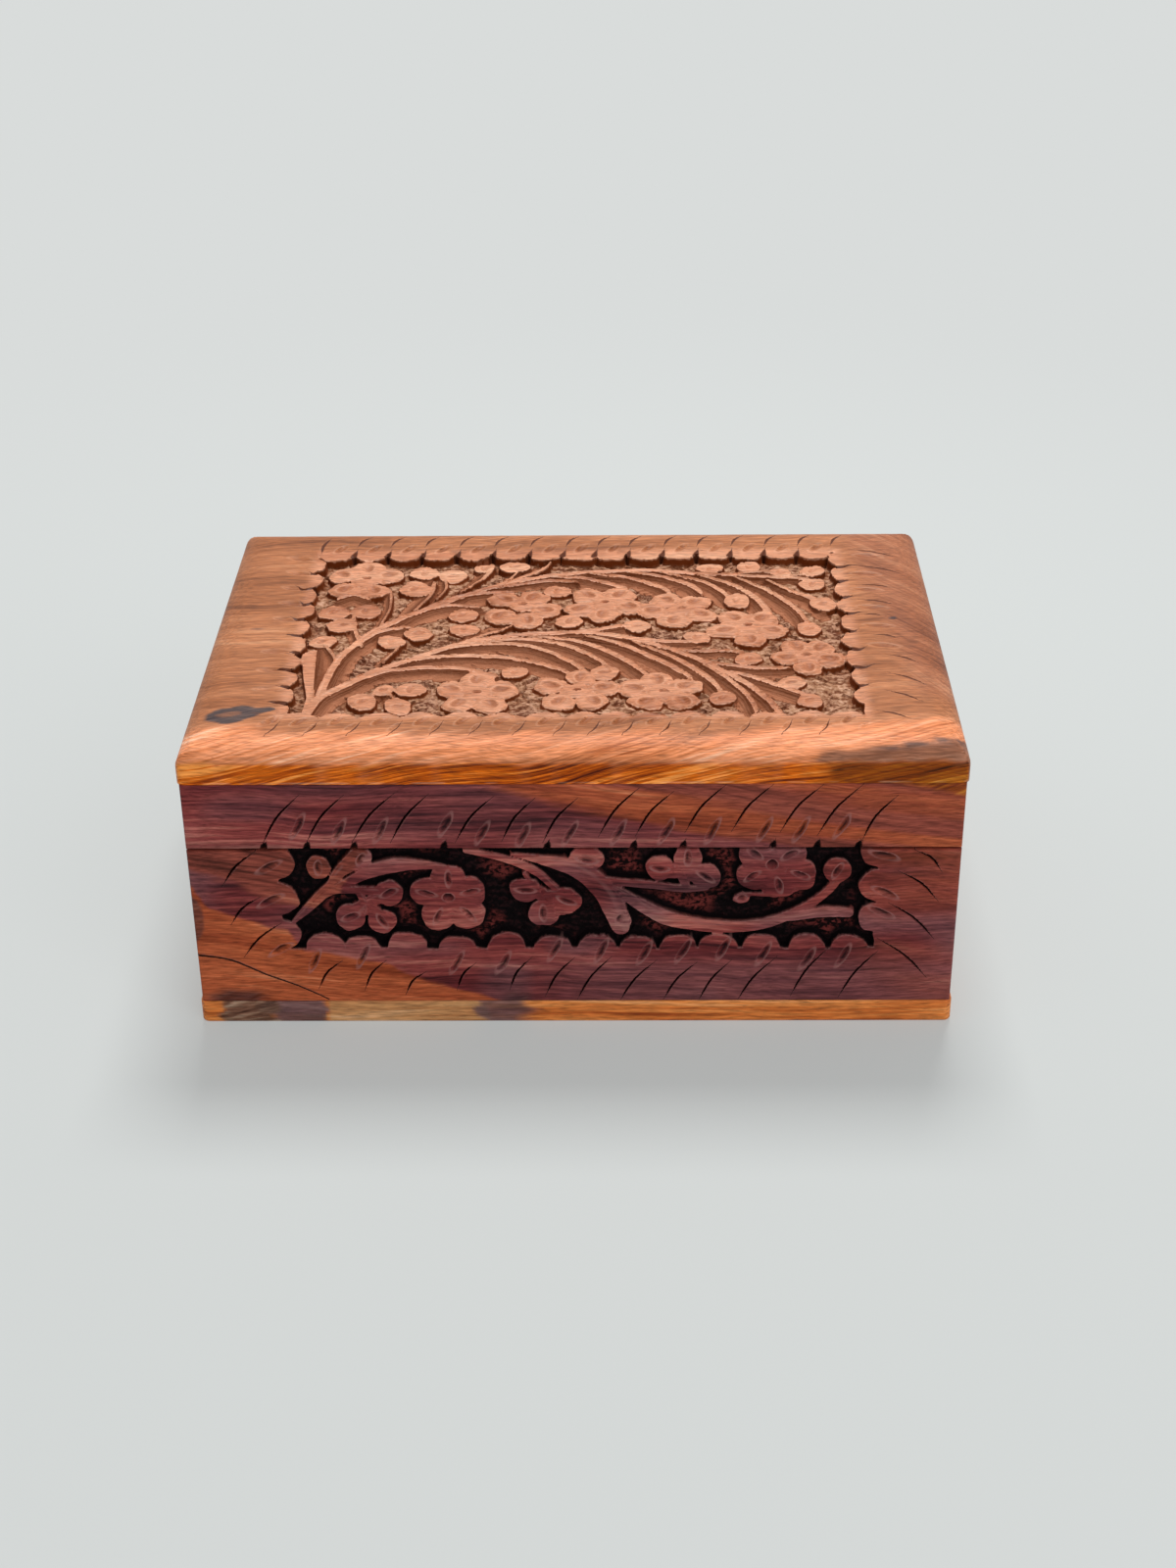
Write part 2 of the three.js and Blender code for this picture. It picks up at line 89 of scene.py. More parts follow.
class Face(Enum):
    """How a worked face lies: the object directions that run along it, up it and out of it."""

    TOP = ((1, 0, 0), (0, 1, 0), (0, 0, 1))
    FRONT = ((1, 0, 0), (0, 0, 1), (0, -1, 0))
    RIGHT = ((0, 1, 0), (0, 0, 1), (1, 0, 0))
    LEFT = ((0, -1, 0), (0, 0, 1), (-1, 0, 0))

    def turn(self) -> tuple[float, float, float]:
        """Gives the turn that brings the face flat into x and y."""
        return tuple(Matrix(self.value).to_euler())


def smooth_step(value: Map) -> Map:
    """Eases values from 0 to 1, where those below 0 give 0 and those above 1 give 1."""
    kept = np.clip(value, 0.0, 1.0)
    return kept * kept * (3.0 - 2.0 * kept)


def rise(value: Map, start: float, length: float) -> Map:
    """Eases from 0 at the start to 1 a length past it."""
    return smooth_step((value - start) / length)


def spot(u: Map, v: Map, middle: Point, half: Point) -> Map:
    """Gives 1 in the middle of an oval spot, 0 at its edge and less outside it."""
    return 1.0 - np.hypot((u - middle[0]) / half[0], (v - middle[1]) / half[1])


def renew(held: Map, where: tuple, better: Map, fresh: Map | float) -> None:
    """Puts fresh values into a part of a map where they are better than the held ones."""
    held[where] = np.where(better, fresh, held[where])


def linear(hex_colour: str) -> tuple[float, float, float, float]:
    """Turns an sRGB hex colour into linear red, green, blue and alpha."""
    values = [int(hex_colour[place:place + 2], 16) / 255 for place in (1, 3, 5)]
    flat = [v / 12.92 if v <= 0.04045 else ((v + 0.055) / 1.055) ** 2.4 for v in values]
    return (flat[0], flat[1], flat[2], 1.0)


def cells(u: Map, v: Map, turn: float, length: float, width: float) -> tuple[Map, ...]:
    """Splits the face into turned oblong cells.

    Args:
        u: Places along the face.
        v: Places up the face.
        turn: The turn of the cells in radians.
        length: The length of a cell.
        width: Its width.

    Returns:
        The places along and across in cells, and the numbers of the cell that each lies in.
    """
    cosine, sine = math.cos(turn), math.sin(turn)
    p = (u * cosine + v * sine) / length
    q = (v * cosine - u * sine) / width
    return p, q, np.floor(p).astype(int), np.floor(q).astype(int)


@dataclass(frozen=True)
class Grain:
    """Smooth seeded noise over a face, from about -1 to 1, with its own pitch along and across."""

    seed: int
    along: float
    across: float
    turn: float = 0.0
    count: int = 97

    def at(self, u: Map, v: Map) -> Map:
        """Reads the noise.

        Args:
            u: Places along the face.
            v: Places up the face.

        Returns:
            The noise at those places.
        """
        n = self.count
        table = np.random.default_rng(self.seed).uniform(-1.0, 1.0, (n, n))
        p, q, p0, q0 = cells(u, v, self.turn, self.along, self.across)
        fp, fq = smooth_step(p - p0), smooth_step(q - q0)
        low = table[p0 % n, q0 % n] * (1 - fp) + table[(p0 + 1) % n, q0 % n] * fp
        high = table[p0 % n, (q0 + 1) % n] * (1 - fp) + table[(p0 + 1) % n, (q0 + 1) % n] * fp
        return low * (1 - fq) + high * fq


@dataclass(frozen=True)
class ChiselCuts:
    """The small tilted facets that overlapping chisel cuts leave on the ground.

    stray is how far a cut's middle strays in its cell, and step how unlike the facets' levels are.
    """

    seed: int
    length: float
    width: float
    turn: float
    tilt: float
    stray: float = 0.45
    step: float = 0.45
    count: int = 71

    def at(self, u: Map, v: Map) -> Map:
        """Reads the facets' height.

        Args:
            u: Places along the face.
            v: Places up the face.

        Returns:
            The height change in millimetres.
        """
        n = self.count
        table = np.random.default_rng(self.seed).uniform(-1.0, 1.0, (5, n, n))
        p, q, p0, q0 = cells(u, v, self.turn, self.length, self.width)
        nearest, height = np.full(u.shape, FAR), np.zeros(u.shape)
        for step_p in (-1, 0, 1):
            for step_q in (-1, 0, 1):
                shift_p, shift_q, slope_p, slope_q, level = table[:, (p0 + step_p) % n, (q0 + step_q) % n]
                away_p = p - (p0 + step_p + 0.5 + self.stray * shift_p)
                away_q = q - (q0 + step_q + 0.5 + self.stray * shift_q)
                away = away_p ** 2 + away_q ** 2
                plane = self.tilt * (slope_p * away_p + slope_q * away_q + self.step * level)
                height = np.where(away < nearest, plane, height)
                nearest = np.minimum(nearest, away)
        return height


@dataclass(frozen=True)
class Profile:
    """What an outline says of a set of places on the face.

    reach is the distance inside the edge, negative outside it, and way the distance along the outline.
    fall is how much of the crown the top lies lower there, and lee how much of the long slope lies beside
    the edge there. ridge is the place across a stroke's flat ridge, from -1 to 1 on it.
    """

    reach: Map
    way: Map
    fall: Map | float = 0.0
    lee: Map | float = 0.0
    ridge: Map | float = OFF_RIDGE


class Motif:
    """Anything that is left standing in the sunk ground."""

    def box(self) -> Span:
        """Gives the lowest and highest u and v that it covers."""
        raise NotImplementedError

    def profile(self, u: Map, v: Map) -> Profile:
        """Works out its outline and its top at a set of places."""
        raise NotImplementedError


@dataclass(frozen=True)
class Stroke(Motif):
    """A stem, leaf or groove that follows a curve with changing width.

    ridge is the place across it, from -1 to 1, where the long slope on its right side starts.
    """

    points: tuple[Point, ...]
    widths: tuple[float, ...]
    ridge: float = -1.0
    steps: int = 20

    def path(self) -> tuple[Map, Map]:
        """Runs a Catmull-Rom curve through the points.

        Returns:
            The curve's places and the half width at each.
        """
        knots = np.array([self.points[0], *self.points, self.points[-1]], float)
        spans = len(self.points) - 1
        rows = []
        for share in np.linspace(0.0, spans, self.steps + 1):
            span = min(int(share), spans - 1)
            t = share - span
            a, b, c, d = knots[span:span + 4]
            rows.append(0.5 * (2 * b + (c - a) * t + (2 * a - 5 * b + 4 * c - d) * t * t
                               + (3 * b - a - 3 * c + d) * t ** 3))
        marks = np.linspace(0.0, 1.0, len(self.widths))
        return np.array(rows), np.interp(np.linspace(0.0, 1.0, len(rows)), marks, self.widths) / 2

    def box(self) -> Span:
        """Gives the lowest and highest u and v that it covers."""
        places, half = self.path()
        low, high = places.min(0) - half.max(), places.max(0) + half.max()
        return low[0], high[0], low[1], high[1]

    def nearest(self, u: Map, v: Map) -> tuple[Map, ...]:
        """Finds the nearest place of the middle line.

        Args:
            u: Places along the face.
            v: Places up the face.

        Returns:
            The signed distance inside the edge, the steps in u and v to the middle line, the half
            width there, the offset to the left as a share of it, and the distance along the curve.
        """
        found = [np.full(u.shape, -FAR)] + [np.zeros(u.shape) for _ in range(5)]
        gone = 0.0
        for (start, half_a), (end, half_b) in pairwise(zip(*self.path())):
            span = end - start
            length = math.hypot(*span)
            share = ((u - start[0]) * span[0] + (v - start[1]) * span[1]) / max(length, TINY) ** 2
            share = np.clip(share, 0.0, 1.0)
            du = start[0] + share * span[0] - u
            dv = start[1] + share * span[1] - v
            wide = half_a + (half_b - half_a) * share
            left = (du * span[1] - dv * span[0]) / max(length, TINY) / np.maximum(wide, 0.05)
            fresh = (wide - np.hypot(du, dv), du, dv, wide, left, gone + share * length)
            closer = fresh[0] > found[0]
            found = [np.where(closer, new, old) for new, old in zip(fresh, found)]
            gone += length
        return tuple(found)

    def profile(self, u: Map, v: Map) -> Profile:
        """Works out the outline, with the flat ridge on the left and the long slope on the right.

        The chisel is laid over on the right side of each leaf and stabbed upright on its left.

        Args:
            u: Places along the face.
            v: Places up the face.

        Returns:
            The stroke's profile.
        """
        reach, _, _, wide, side, way = self.nearest(u, v)
        reach = np.minimum(reach, (side - self.ridge) * wide)
        fall = np.clip(1.0 - side, 0.0, 1.3) / 1.3
        lee = np.where(side < self.ridge, 1.0, 0.0) * np.clip(2.0 * wide / max(self.widths), 0.0, 1.0)
        middle, half = (1.0 + self.ridge) / 2, (1.0 - self.ridge) / 2
        return Profile(reach, way, fall, lee, (side - middle) / half)


@dataclass(frozen=True)
class Oval(Motif):
    """A petal, bud or lobe, with its turn in degrees; a square above 2 fills out its corners."""

    u: float
    v: float
    length: float
    width: float
    turn: float = 0.0
    square: float = 2.0

    def axes(self, u: Map, v: Map) -> tuple[Map, Map]:
        """Turns places on the face into places on the oval.

        Args:
            u: Places along the face.
            v: Places up the face.

        Returns:
            The places along and across it, as shares of its half sizes.
        """
        cosine, sine = math.cos(math.radians(self.turn)), math.sin(math.radians(self.turn))
        along = ((u - self.u) * cosine + (v - self.v) * sine) / (self.length / 2)
        across = ((v - self.v) * cosine - (u - self.u) * sine) / (self.width / 2)
        return along, across

    def box(self) -> Span:
        """Gives the lowest and highest u and v that it covers."""
        half = max(self.length, self.width) / 2
        return self.u - half, self.u + half, self.v - half, self.v + half

    def out(self, u: Map, v: Map) -> Map:
        """Gives how far out the places lie, with 1 at the edge."""
        along, across = self.axes(u, v)
        return (np.abs(along) ** self.square + np.abs(across) ** self.square) ** (1.0 / self.square)

    def reach(self, u: Map, v: Map) -> Map:
        """Gives about the signed distance to the oval's edge, positive inside."""
        return (1.0 - self.out(u, v)) * min(self.length, self.width) / 2

    def profile(self, u: Map, v: Map) -> Profile:
        """Works out the outline and a low dome, which leans another way on each oval.

        Args:
            u: Places along the face.
            v: Places up the face.

        Returns:
            The oval's profile.
        """
        along, across = self.axes(u, v)
        out = self.out(u, v)
        lean = 1.9 * self.u + 0.7 * self.v
        tilt = 0.5 + 0.5 * (along * math.cos(lean) + across * math.sin(lean)) / np.maximum(out, 1.0)
        way = np.arctan2(across, along) * max(self.length, self.width) / 2
        return Profile(self.reach(u, v), way, 0.6 * np.clip(out, 0.0, 1.0) ** 4 + 0.4 * tilt)


@dataclass(frozen=True)
class Scoop:
    """A shallow gouge cut with one steep side, such as the hollow of a petal.

    lean is how much deeper one side is, round how soon it gets deep, and ink how dark the painted shadow in
    its slit is.
    """

    oval: Oval
    depth: float
    lean: float = 0.5
    round: float = 0.5
    ink: float = 1.0

    def cut(self, u: Map, v: Map) -> tuple[Map, ...]:
        """Works out the scoop at a set of places.

        Args:
            u: Places along the face.
            v: Places up the face.

        Returns:
            The depth that it takes away, the distance inside its edge, how bright the painted highlight round
            its edge is there, and how dark the painted shadow in its slit is, which lies to one side.
        """
        along, across = self.oval.axes(u, v)
        out = np.hypot(along, across)
        left = np.clip(1.0 - out ** 2, 0.0, 1.0)
        depth = self.depth * left ** self.round * (1.0 - self.lean + self.lean * (across + 1.0))
        inside = (1.0 - out) * min(self.oval.length, self.oval.width) / 2
        # The edge gets a painted highlight and the slit a painted shadow, both strongest on one side.
        lip_highlight = np.exp(-((out - 1.0) / 0.45) ** 2) * np.clip(0.7 + 0.4 * across, 0.0, 1.0)
        slit = self.ink * np.clip(0.6 + 1.2 * across, 0.2, 1.0)
        return depth, inside, lip_highlight, slit


@dataclass(frozen=True)
class Flower(Motif):
    """A five-petalled flower cut as one plate, with a hollow in each petal and a pricked centre.

    size is half a petal's breadth or so, and hollow and centre are lengths and widths of the cuts.
    """

    u: float
    v: float
    petals: tuple[Point, ...]
    size: float = 3.3
    hollow: Point = (4.4, 3.2)
    centre: Point = (2.0, 1.1)

    def ovals(self) -> list[Oval]:
        """Gives the disc in the middle and the petals round it."""
        found = [Oval(self.u, self.v, 1.9 * self.size, 1.9 * self.size)]
        for u, v in self.petals:
            turn = math.degrees(math.atan2(v - self.v, u - self.u))
            found.append(Oval(u, v, 1.9 * self.size, 2.05 * self.size, turn))
        return found

    def box(self) -> Span:
        """Gives the lowest and highest u and v that it covers."""
        us, vs = zip(*self.petals)
        return min(us) - self.size, max(us) + self.size, min(vs) - self.size, max(vs) + self.size

    def profile(self, u: Map, v: Map) -> Profile:
        """Works out the plate, which rounds off at its edge."""
        reach = np.maximum.reduce([oval.reach(u, v) for oval in self.ovals()])
        way = np.arctan2(v - self.v, u - self.u) * 2.2 * self.size
        return Profile(reach, way, np.clip(1.0 - reach / 1.2, 0.0, 1.0) ** 2)

    def scoops(self, depth: float, round: float, ink: float) -> list[Scoop]:
        """Cuts the petals' hollows and the pricked centre.

        Args:
            depth: The depth of a hollow.
            round: How soon it gets deep.
            ink: How dark the painted shadow in its slit is.

        Returns:
            The cuts.
        """
        cuts = [Scoop(Oval(self.u, self.v, *self.centre), depth=0.9, lean=0.0)]
        for petal in self.ovals()[1:]:
            turn = petal.turn if math.cos(math.radians(petal.turn)) > 0 else petal.turn + 180.0
            cuts.append(Scoop(Oval(petal.u, petal.v, *self.hollow, turn), depth, 0.5, round, ink))
        return cuts


@dataclass(frozen=True)
class Border(Motif):
    """The uncarved margin round a recess, with a row of round lobes along each edge."""

    left: float
    right: float
    bottom: float
    top: float
    lobes: list[Oval]

    def box(self) -> Span:
        """Gives a box that takes in the whole face."""
        return -FAR, FAR, -FAR, FAR

    def profile(self, u: Map, v: Map) -> Profile:
        """Works out the margin's edge, with its top level with the face."""
        reach = np.maximum.reduce([self.left - u, u - self.right, self.bottom - v, v - self.top]
                                  + [lobe.reach(u, v) for lobe in self.lobes])
        return Profile(reach, u + 0.8 * v)


@dataclass(frozen=True)
class Standing:
    """A motif with how the hand left it.

    lowered is how low its top lies, crown how far it rounds off, slope how long its long slope is,
    waver how far the unsteady hand moves its outline, and comb how deep the chops beside it are.
    """

    motif: Motif
    lowered: float = 0.0
    crown: float = 0.0
    slope: float = 0.0
    waver: float = 0.2
    comb: float = 0.0


@dataclass
class Relief:
    """What is carved into a board's face, and the surface that it leaves at every grid point.

    slack is how far the top's edge is eased past its outline, overcut how much deeper a wall's foot is
    than the ground, and tooth the length of one chop beside a motif.
    """

    board: CarvedBoard
    lines_u: Map
    lines_v: Map
    slack: float = 0.05
    overcut: float = 0.15
    tooth: float = 1.2
    stands: list[Standing] = field(default_factory=list)
    scoops: list[Scoop] = field(default_factory=list)
    gouges: list[tuple[Stroke, float]] = field(default_factory=list)

    def __post_init__(self) -> None:
        """Lays the grid on the whole, uncut face."""
        self.u, self.v = np.meshgrid(self.lines_u, self.lines_v)
        self.pitch_u, self.pitch_v = np.meshgrid(np.gradient(self.lines_u), np.gradient(self.lines_v))
        self.depth = self.board.sink(self.u, self.v)
        self.land = self.blank(FAR)
        self.slant = self.blank(0.0)
        self.ridge = self.blank(OFF_RIDGE)

    def blank(self, value: float) -> Map:
        """Gives a map of the face with one value everywhere."""
        return np.full(self.u.shape, value)

    def stand(self, motif: Motif, **how: float) -> None:
        """Leaves a motif standing."""
        self.stands.append(Standing(motif, **how))

    def scoop(self, place: Point, size: Point, turn: float, depth: float, **how: float) -> None:
        """Cuts a scoop with its middle, its length and width, its turn in degrees and its depth."""
        self.scoops.append(Scoop(Oval(*place, *size, turn), depth, **how))

    def gouge(self, points: Sequence[Point], widths: Sequence[float], depth: float, steps: int = 20) -> None:
        """Cuts a groove along a curve."""
        self.gouges.append((Stroke(points, widths, steps=steps), depth))

    def vein(self, start: Point, end: Point, width: float, bow: float, depth: float) -> None:
        """Cuts a veiner's line.

        Args:
            start: Where it starts.
            end: Where it ends.
            width: Its greatest width.
            bow: How far it bulges to the left of the way.
            depth: Its depth.
        """
        length = math.hypot(end[0] - start[0], end[1] - start[1])
        side = (-(end[1] - start[1]) / length * bow, (end[0] - start[0]) / length * bow)
        middle = ((start[0] + end[0]) / 2 + side[0], (start[1] + end[1]) / 2 + side[1])
        self.gouge((start, middle, end), (0.06, width * 0.7, width, width * 0.8, 0.06), depth, steps=12)

    def drawn(self, u: Map, v: Map, waver: float) -> tuple[Map, Map]:
        """Moves places as a slightly unsteady hand draws them, straying by the waver."""
        moved_u = Grain(71, 3.6, 3.1).at(u, v) + 0.6 * Grain(72, 1.7, 1.5).at(u, v)
        moved_v = Grain(73, 3.3, 3.9).at(u, v) + 0.6 * Grain(74, 1.5, 1.8).at(u, v)
        return u + waver * moved_u, v + waver * moved_v

    def near(self, box: Span, pad: float) -> tuple[Map, ...]:
        """Picks the rows and columns of the grid points within a box, padded all round."""
        inside = (self.u > box[0] - pad) & (self.u < box[1] + pad)
        inside &= (self.v > box[2] - pad) & (self.v < box[3] + pad)
        return np.nonzero(inside)

    def half_step(self, way_u: Map, way_v: Map, where: object = ...) -> Map:
        """Gives half the distance between grid points in a direction, with a hair to spare."""
        length = np.maximum(np.hypot(way_u, way_v), TINY)
        wide = np.maximum(np.abs(way_u) * self.pitch_u[where], np.abs(way_v) * self.pitch_v[where])
        return 0.5 * wide / length + 0.01

    def outline(self) -> tuple[Map, Map]:
        """Works out how far inside the nearest standing edge every place lies.

        Returns:
            How fast that distance grows along u and along v.
        """
        step = 0.03
        self.land = self.blank(-FAR)
        slope_u, slope_v = self.blank(1.0), self.blank(0.0)
        for standing in self.stands:
            where = self.near(standing.motif.box(), 1.5)
            u, v = self.u[where], self.v[where]
            here, beside, above = (standing.motif.profile(*self.drawn(u + du, v + dv, standing.waver)).reach
                                   for du, dv in ((0.0, 0.0), (step, 0.0), (0.0, step)))
            nearer = here > self.land[where]
            renew(slope_u, where, nearer, (beside - here) / step)
            renew(slope_v, where, nearer, (above - here) / step)
            renew(self.land, where, nearer, here)
        return slope_u, slope_v

    def crisp(self) -> None:
        """Pulls the grid points nearest each carved edge onto it or onto the foot of its wall."""
        slope_u, slope_v = self.outline()
        foot = self.board.foot
        level = np.where(self.land > -foot / 2, 0.0, -foot)
        held = np.abs(level - self.land) < np.hypot(slope_u, slope_v) * self.half_step(slope_u, slope_v)
        for _ in range(2):
            steep = np.clip(np.hypot(slope_u, slope_v), 0.3, 3.0)
            move = np.clip((level - self.land) / steep, -0.3, 0.3)
            self.u = np.where(held, self.u + move * slope_u / steep, self.u)
            self.v = np.where(held, self.v + move * slope_v / steep, self.v)
            slope_u, slope_v = self.outline()

    def chopped(self) -> Map:
        """Gives the height of the chopped ground: facets of two ways of cutting, on a slow swell."""
        first, second = (ChiselCuts(*cut, self.board.rough).at(self.u, self.v)
                         for cut in ((81, 2.9, 1.15, 0.75), (82, 2.5, 1.0, -0.5)))
        choose = Grain(83, 9.0, 8.0).at(self.u, self.v) > 0.0
        return np.where(choose, first, second) + 0.2 * Grain(84, 9.0, 7.0).at(self.u, self.v)

    def settle(self) -> Map:
        """Works out how deep the standing motifs and the ground between them lie.

        Returns:
            The drop below the face in millimetres.
        """
        if not self.stands:
            return self.blank(0.0)
        drop, comb = self.blank(FAR), self.blank(0.0)
        self.land = self.blank(-FAR)
        for standing in self.stands:
            where = self.near(standing.motif.box(), 2.6 + standing.slope)
            found = standing.motif.profile(*self.drawn(self.u[where], self.v[where], standing.waver))
            run = self.board.foot - 3.0 * self.slack + standing.slope * found.lee
            share = np.clip((-found.reach - self.slack) / run, 0.0, 1.0)
            own = standing.lowered + standing.crown * found.fall
            # The long slope is cut hollow, and the upright walls are straight.
            hollow = np.where(found.lee > 0.3, 1.0 - (1.0 - share) ** 1.5, share)
            fresh = own + (self.depth[where] + self.overcut - own) * hollow
            lower = np.where(share < 1.0, fresh, FAR) < drop[where]
            renew(drop, where, lower, fresh)
            renew(self.slant, where, lower, found.lee * share)
            renew(self.ridge, where, found.reach > self.land[where], np.clip(found.ridge, -8.0, 8.0))
            self.land[where] = np.maximum(self.land[where], found.reach)
            if standing.comb:
                chop = found.way / self.tooth - np.floor(found.way / self.tooth)
                beside = np.clip(1.0 + (found.reach + self.board.foot) / 2.0, 0.0, 1.0) * (share >= 1.0)
                comb[where] = np.maximum(comb[where], standing.comb * chop * beside)
        patchy = smooth_step(0.4 + Grain(86, 6.0, 6.0).at(self.u, self.v))
        return np.minimum(drop, np.maximum(self.depth + self.chopped() + comb * patchy, 0.45 * self.depth))

    def veins(self) -> tuple[Map, Map, Map]:
        """Cuts the grooves, and pulls the nearest grid points onto their middle lines.

        Returns:
            The depth that they take away, how near their middle line every place lies, and the
            signed distance across it as a share of the line's half width.
        """
        groove, close, across = self.blank(0.0), self.blank(0.0), self.blank(6.0)
        pad = 1.4
        for stroke, depth in self.gouges:
            where = self.near(stroke.box(), pad)
            reach, to_u, to_v, _, side, _ = stroke.nearest(self.u[where], self.v[where])
            away = np.hypot(to_u, to_v)
            pulled = (away < self.half_step(to_u, to_v, where)) & (reach > 0.02)
            renew(self.u, where, pulled, self.u[where] + to_u)
            renew(self.v, where, pulled, self.v[where] + to_v)
            share = np.clip(np.where(pulled, reach + away, reach) / (max(stroke.widths) / 2), 0.0, 1.0)
            groove[where] = np.maximum(groove[where], depth * share)
            renew(across, where, pad - away > close[where], np.clip(np.where(pulled, 0.0, side), -6.0, 6.0))
            close[where] = np.maximum(close[where], pad - away)
        return groove, close, across

    def work(self) -> tuple[Map, dict[str, Map]]:
        """Cuts everything.

        Returns:
            The height of every grid point above the face, zero or less, and what the material
            reads: the distance inside the edges, the share down the long slopes, the place on the
            ridges, the painted shade of the hollows, the painted highlight of the lit rims, the scoops with
            their painted shadow and highlight, and the grooves.
        """
        if self.stands:
            self.crisp()
        groove, close, across = self.veins()
        drop = self.settle()
        cut, lip_highlight, ink, dimple = self.blank(0.0), self.blank(0.0), self.blank(0.0), self.blank(-1.0)
        for scoop in self.scoops:
            where = self.near(scoop.oval.box(), 1.0)
            depth, inside, edge, slit = scoop.cut(*self.drawn(self.u[where], self.v[where], 0.2))
            cut[where] = np.maximum(cut[where], depth)
            lip_highlight[where] = np.maximum(lip_highlight[where], edge)
            renew(ink, where, inside > dimple[where], slit)
            dimple[where] = np.maximum(dimple[where], inside)
        # The tops are planed a little uneven, and lumpy where the knife has shaped them.
        shaped = rise(-self.land, -2.6, 1.4) * (self.land > 0.0)
        lumps = 0.5 + 0.5 * Grain(87, 2.3, 1.9).at(self.u, self.v)
        ripple = 0.05 * np.abs(Grain(85, 5.0, 3.0, 0.4).at(self.u, self.v))
        height = -(drop + cut + groove + (ripple + self.board.lumpy * shaped * lumps))
        slope_v, slope_u = np.gradient(self.land, self.lines_v, self.lines_u)
        facing = -slope_v / np.maximum(np.hypot(slope_u, slope_v), 0.3)
        return height, {
            "edge": np.clip(self.land, -3.0, 3.0),
            "slant": self.slant,
            "ridge": self.ridge,
            "ink": ink,
            # Painted shade, darker where a place lies below its blurred surroundings, as in hollows and
            # beside walls.
            "cavity_shade": rise(softened_map(height, 12) - height, 0.04, 0.6),
            # A painted highlight on the rims, turned by lit towards the edges that face one way.
            "rim": np.clip(0.15 + 0.85 * self.board.lit * facing, 0.0, 1.0),
            "dimple": dimple + 1.0,
            "lip_highlight": lip_highlight,
            "vein": close,
            "across": across,
        }


def softened_map(values: Map, passes: int) -> Map:
    """Blurs a map of the face by a few grid cells.

    Args:
        values: The map.
        passes: How many times each cell is averaged with its neighbours.

    Returns:
        The blurred map.
    """
    for _ in range(passes):
        padded = np.pad(values, 1, mode="edge")
        across = (padded[:, :-2] + padded[:, 1:-1] + padded[:, 2:]) / 3
        values = (across[:-2] + across[1:-1] + across[2:]) / 3
    return values


def band(line: Sequence[Point], u: Map, v: Map, soft: float, wobble: Map) -> Map:
    """Gives 1 below a line of given points and 0 above it, softened, and wandering by the wobble."""
    xs, ys = zip(*line)
    return smooth_step(0.5 + (np.interp(u, xs, ys) + wobble - v) / soft)


def per_metre(*sizes_mm: float) -> tuple[float, ...]:
    """Gives a pattern's scale along each axis, from the sizes of its marks in millimetres."""
    return tuple(1.0 / (size * MM) for size in sizes_mm)


class Nodes:
    """A node tree under construction, of a material or of the world."""

    def __init__(self, owner: Material | World, output: str) -> None:
        """Empties the owner's tree and gives it its output.

        Args:
            owner: The material or the world.
            output: The output node's type name.
        """
        owner.use_nodes = True
        self.tree = owner.node_tree
        self.tree.nodes.clear()
        self.output = self.tree.nodes.new(output)

    def feed(self, node: Node, values: dict[int | str, object]) -> None:
        """Links sockets to a node's inputs, or sets them to plain values.

        Args:
            node: The node.
            values: A socket or a plain value for each input, by its number or name among those in use.
        """
        used = [socket for socket in node.inputs if socket.enabled]
        for key, value in values.items():
            socket = used[key] if isinstance(key, int) else node.inputs[key]
            if isinstance(value, NodeSocket):
                self.tree.links.new(value, socket)
            else:
                socket.default_value = value

    def add(self, kind: str, *inputs: object, output: str = "", **more: object) -> NodeSocket:
        """Adds a node with its settings, and links or sets its inputs.

        Args:
            kind: The node's type name, without the word that every shader node's name starts with.
            inputs: A socket or a plain value for each of the inputs in use, in their order.
            output: The name of the wanted output, or nothing for the first.
            more: The node's own settings, and inputs by their names, which start with a capital letter.

        Returns:
            The wanted output.
        """
        node = self.tree.nodes.new("ShaderNode" + kind)
        fed = dict(enumerate(inputs))
        for name, value in more.items():
            if name[0].isupper():
                fed[name] = value
            else:
                setattr(node, name, value)
        self.feed(node, fed)
        return next(socket for socket in node.outputs if socket.enabled and output in ("", socket.name))

    def seen(self) -> NodeSocket:
        """Gives 1 on rays that show the background: the camera's, reflected ones and those through glass."""
        path = self.add("LightPath").node.outputs
        seen = path["Is Camera Ray"]
        for kind in ("Is Glossy Ray", "Is Transmission Ray"):
            seen = self.add("Math", seen, path[kind], operation="MAXIMUM")
        return seen


class Shade(Nodes):
    """A material under construction."""

    def __init__(self, name: str) -> None:
        """Starts an empty material with its output and shader."""
        self.material = bpy.data.materials.new(name)
        super().__init__(self.material, "ShaderNodeOutputMaterial")
        self.surface = self.add("BsdfPrincipled")
        self.feed(self.output, {"Surface": self.surface})

    def look(self, values: dict[str, object]) -> Material:
        """Sets or links the shader's own inputs, and gives the material."""
        self.feed(self.surface.node, values)
        return self.material


def spread_colours(ramp: NodeSocket, colours: Sequence[str]) -> NodeSocket:
    """Spreads colours evenly over a colour ramp.

    Args:
        ramp: The ramp's output.
        colours: Its colours from the dark end to the pale.

    Returns:
        The same output.
    """
    elements = ramp.node.color_ramp.elements
    while len(elements) < len(colours):
        elements.new(0.5)
    for number, (element, colour) in enumerate(zip(elements, colours)):
        element.position = number / (len(colours) - 1)
        element.color = linear(colour)
    return ramp


@dataclass(frozen=True)
class Tone:
    """A ramp of wood colours, from the dark streaks to the pale, and the painted zone that has it.

    turn is the way of its streaks in degrees, streak how strong the fine ones are, spread how much of the
    ramp they leave out, and reach_mm how long they are.
    """

    zone: str
    colours: tuple[str, ...]
    turn: float = 0.0
    streak: float = 0.4
    spread: float = 0.26
    reach_mm: float = 24.0


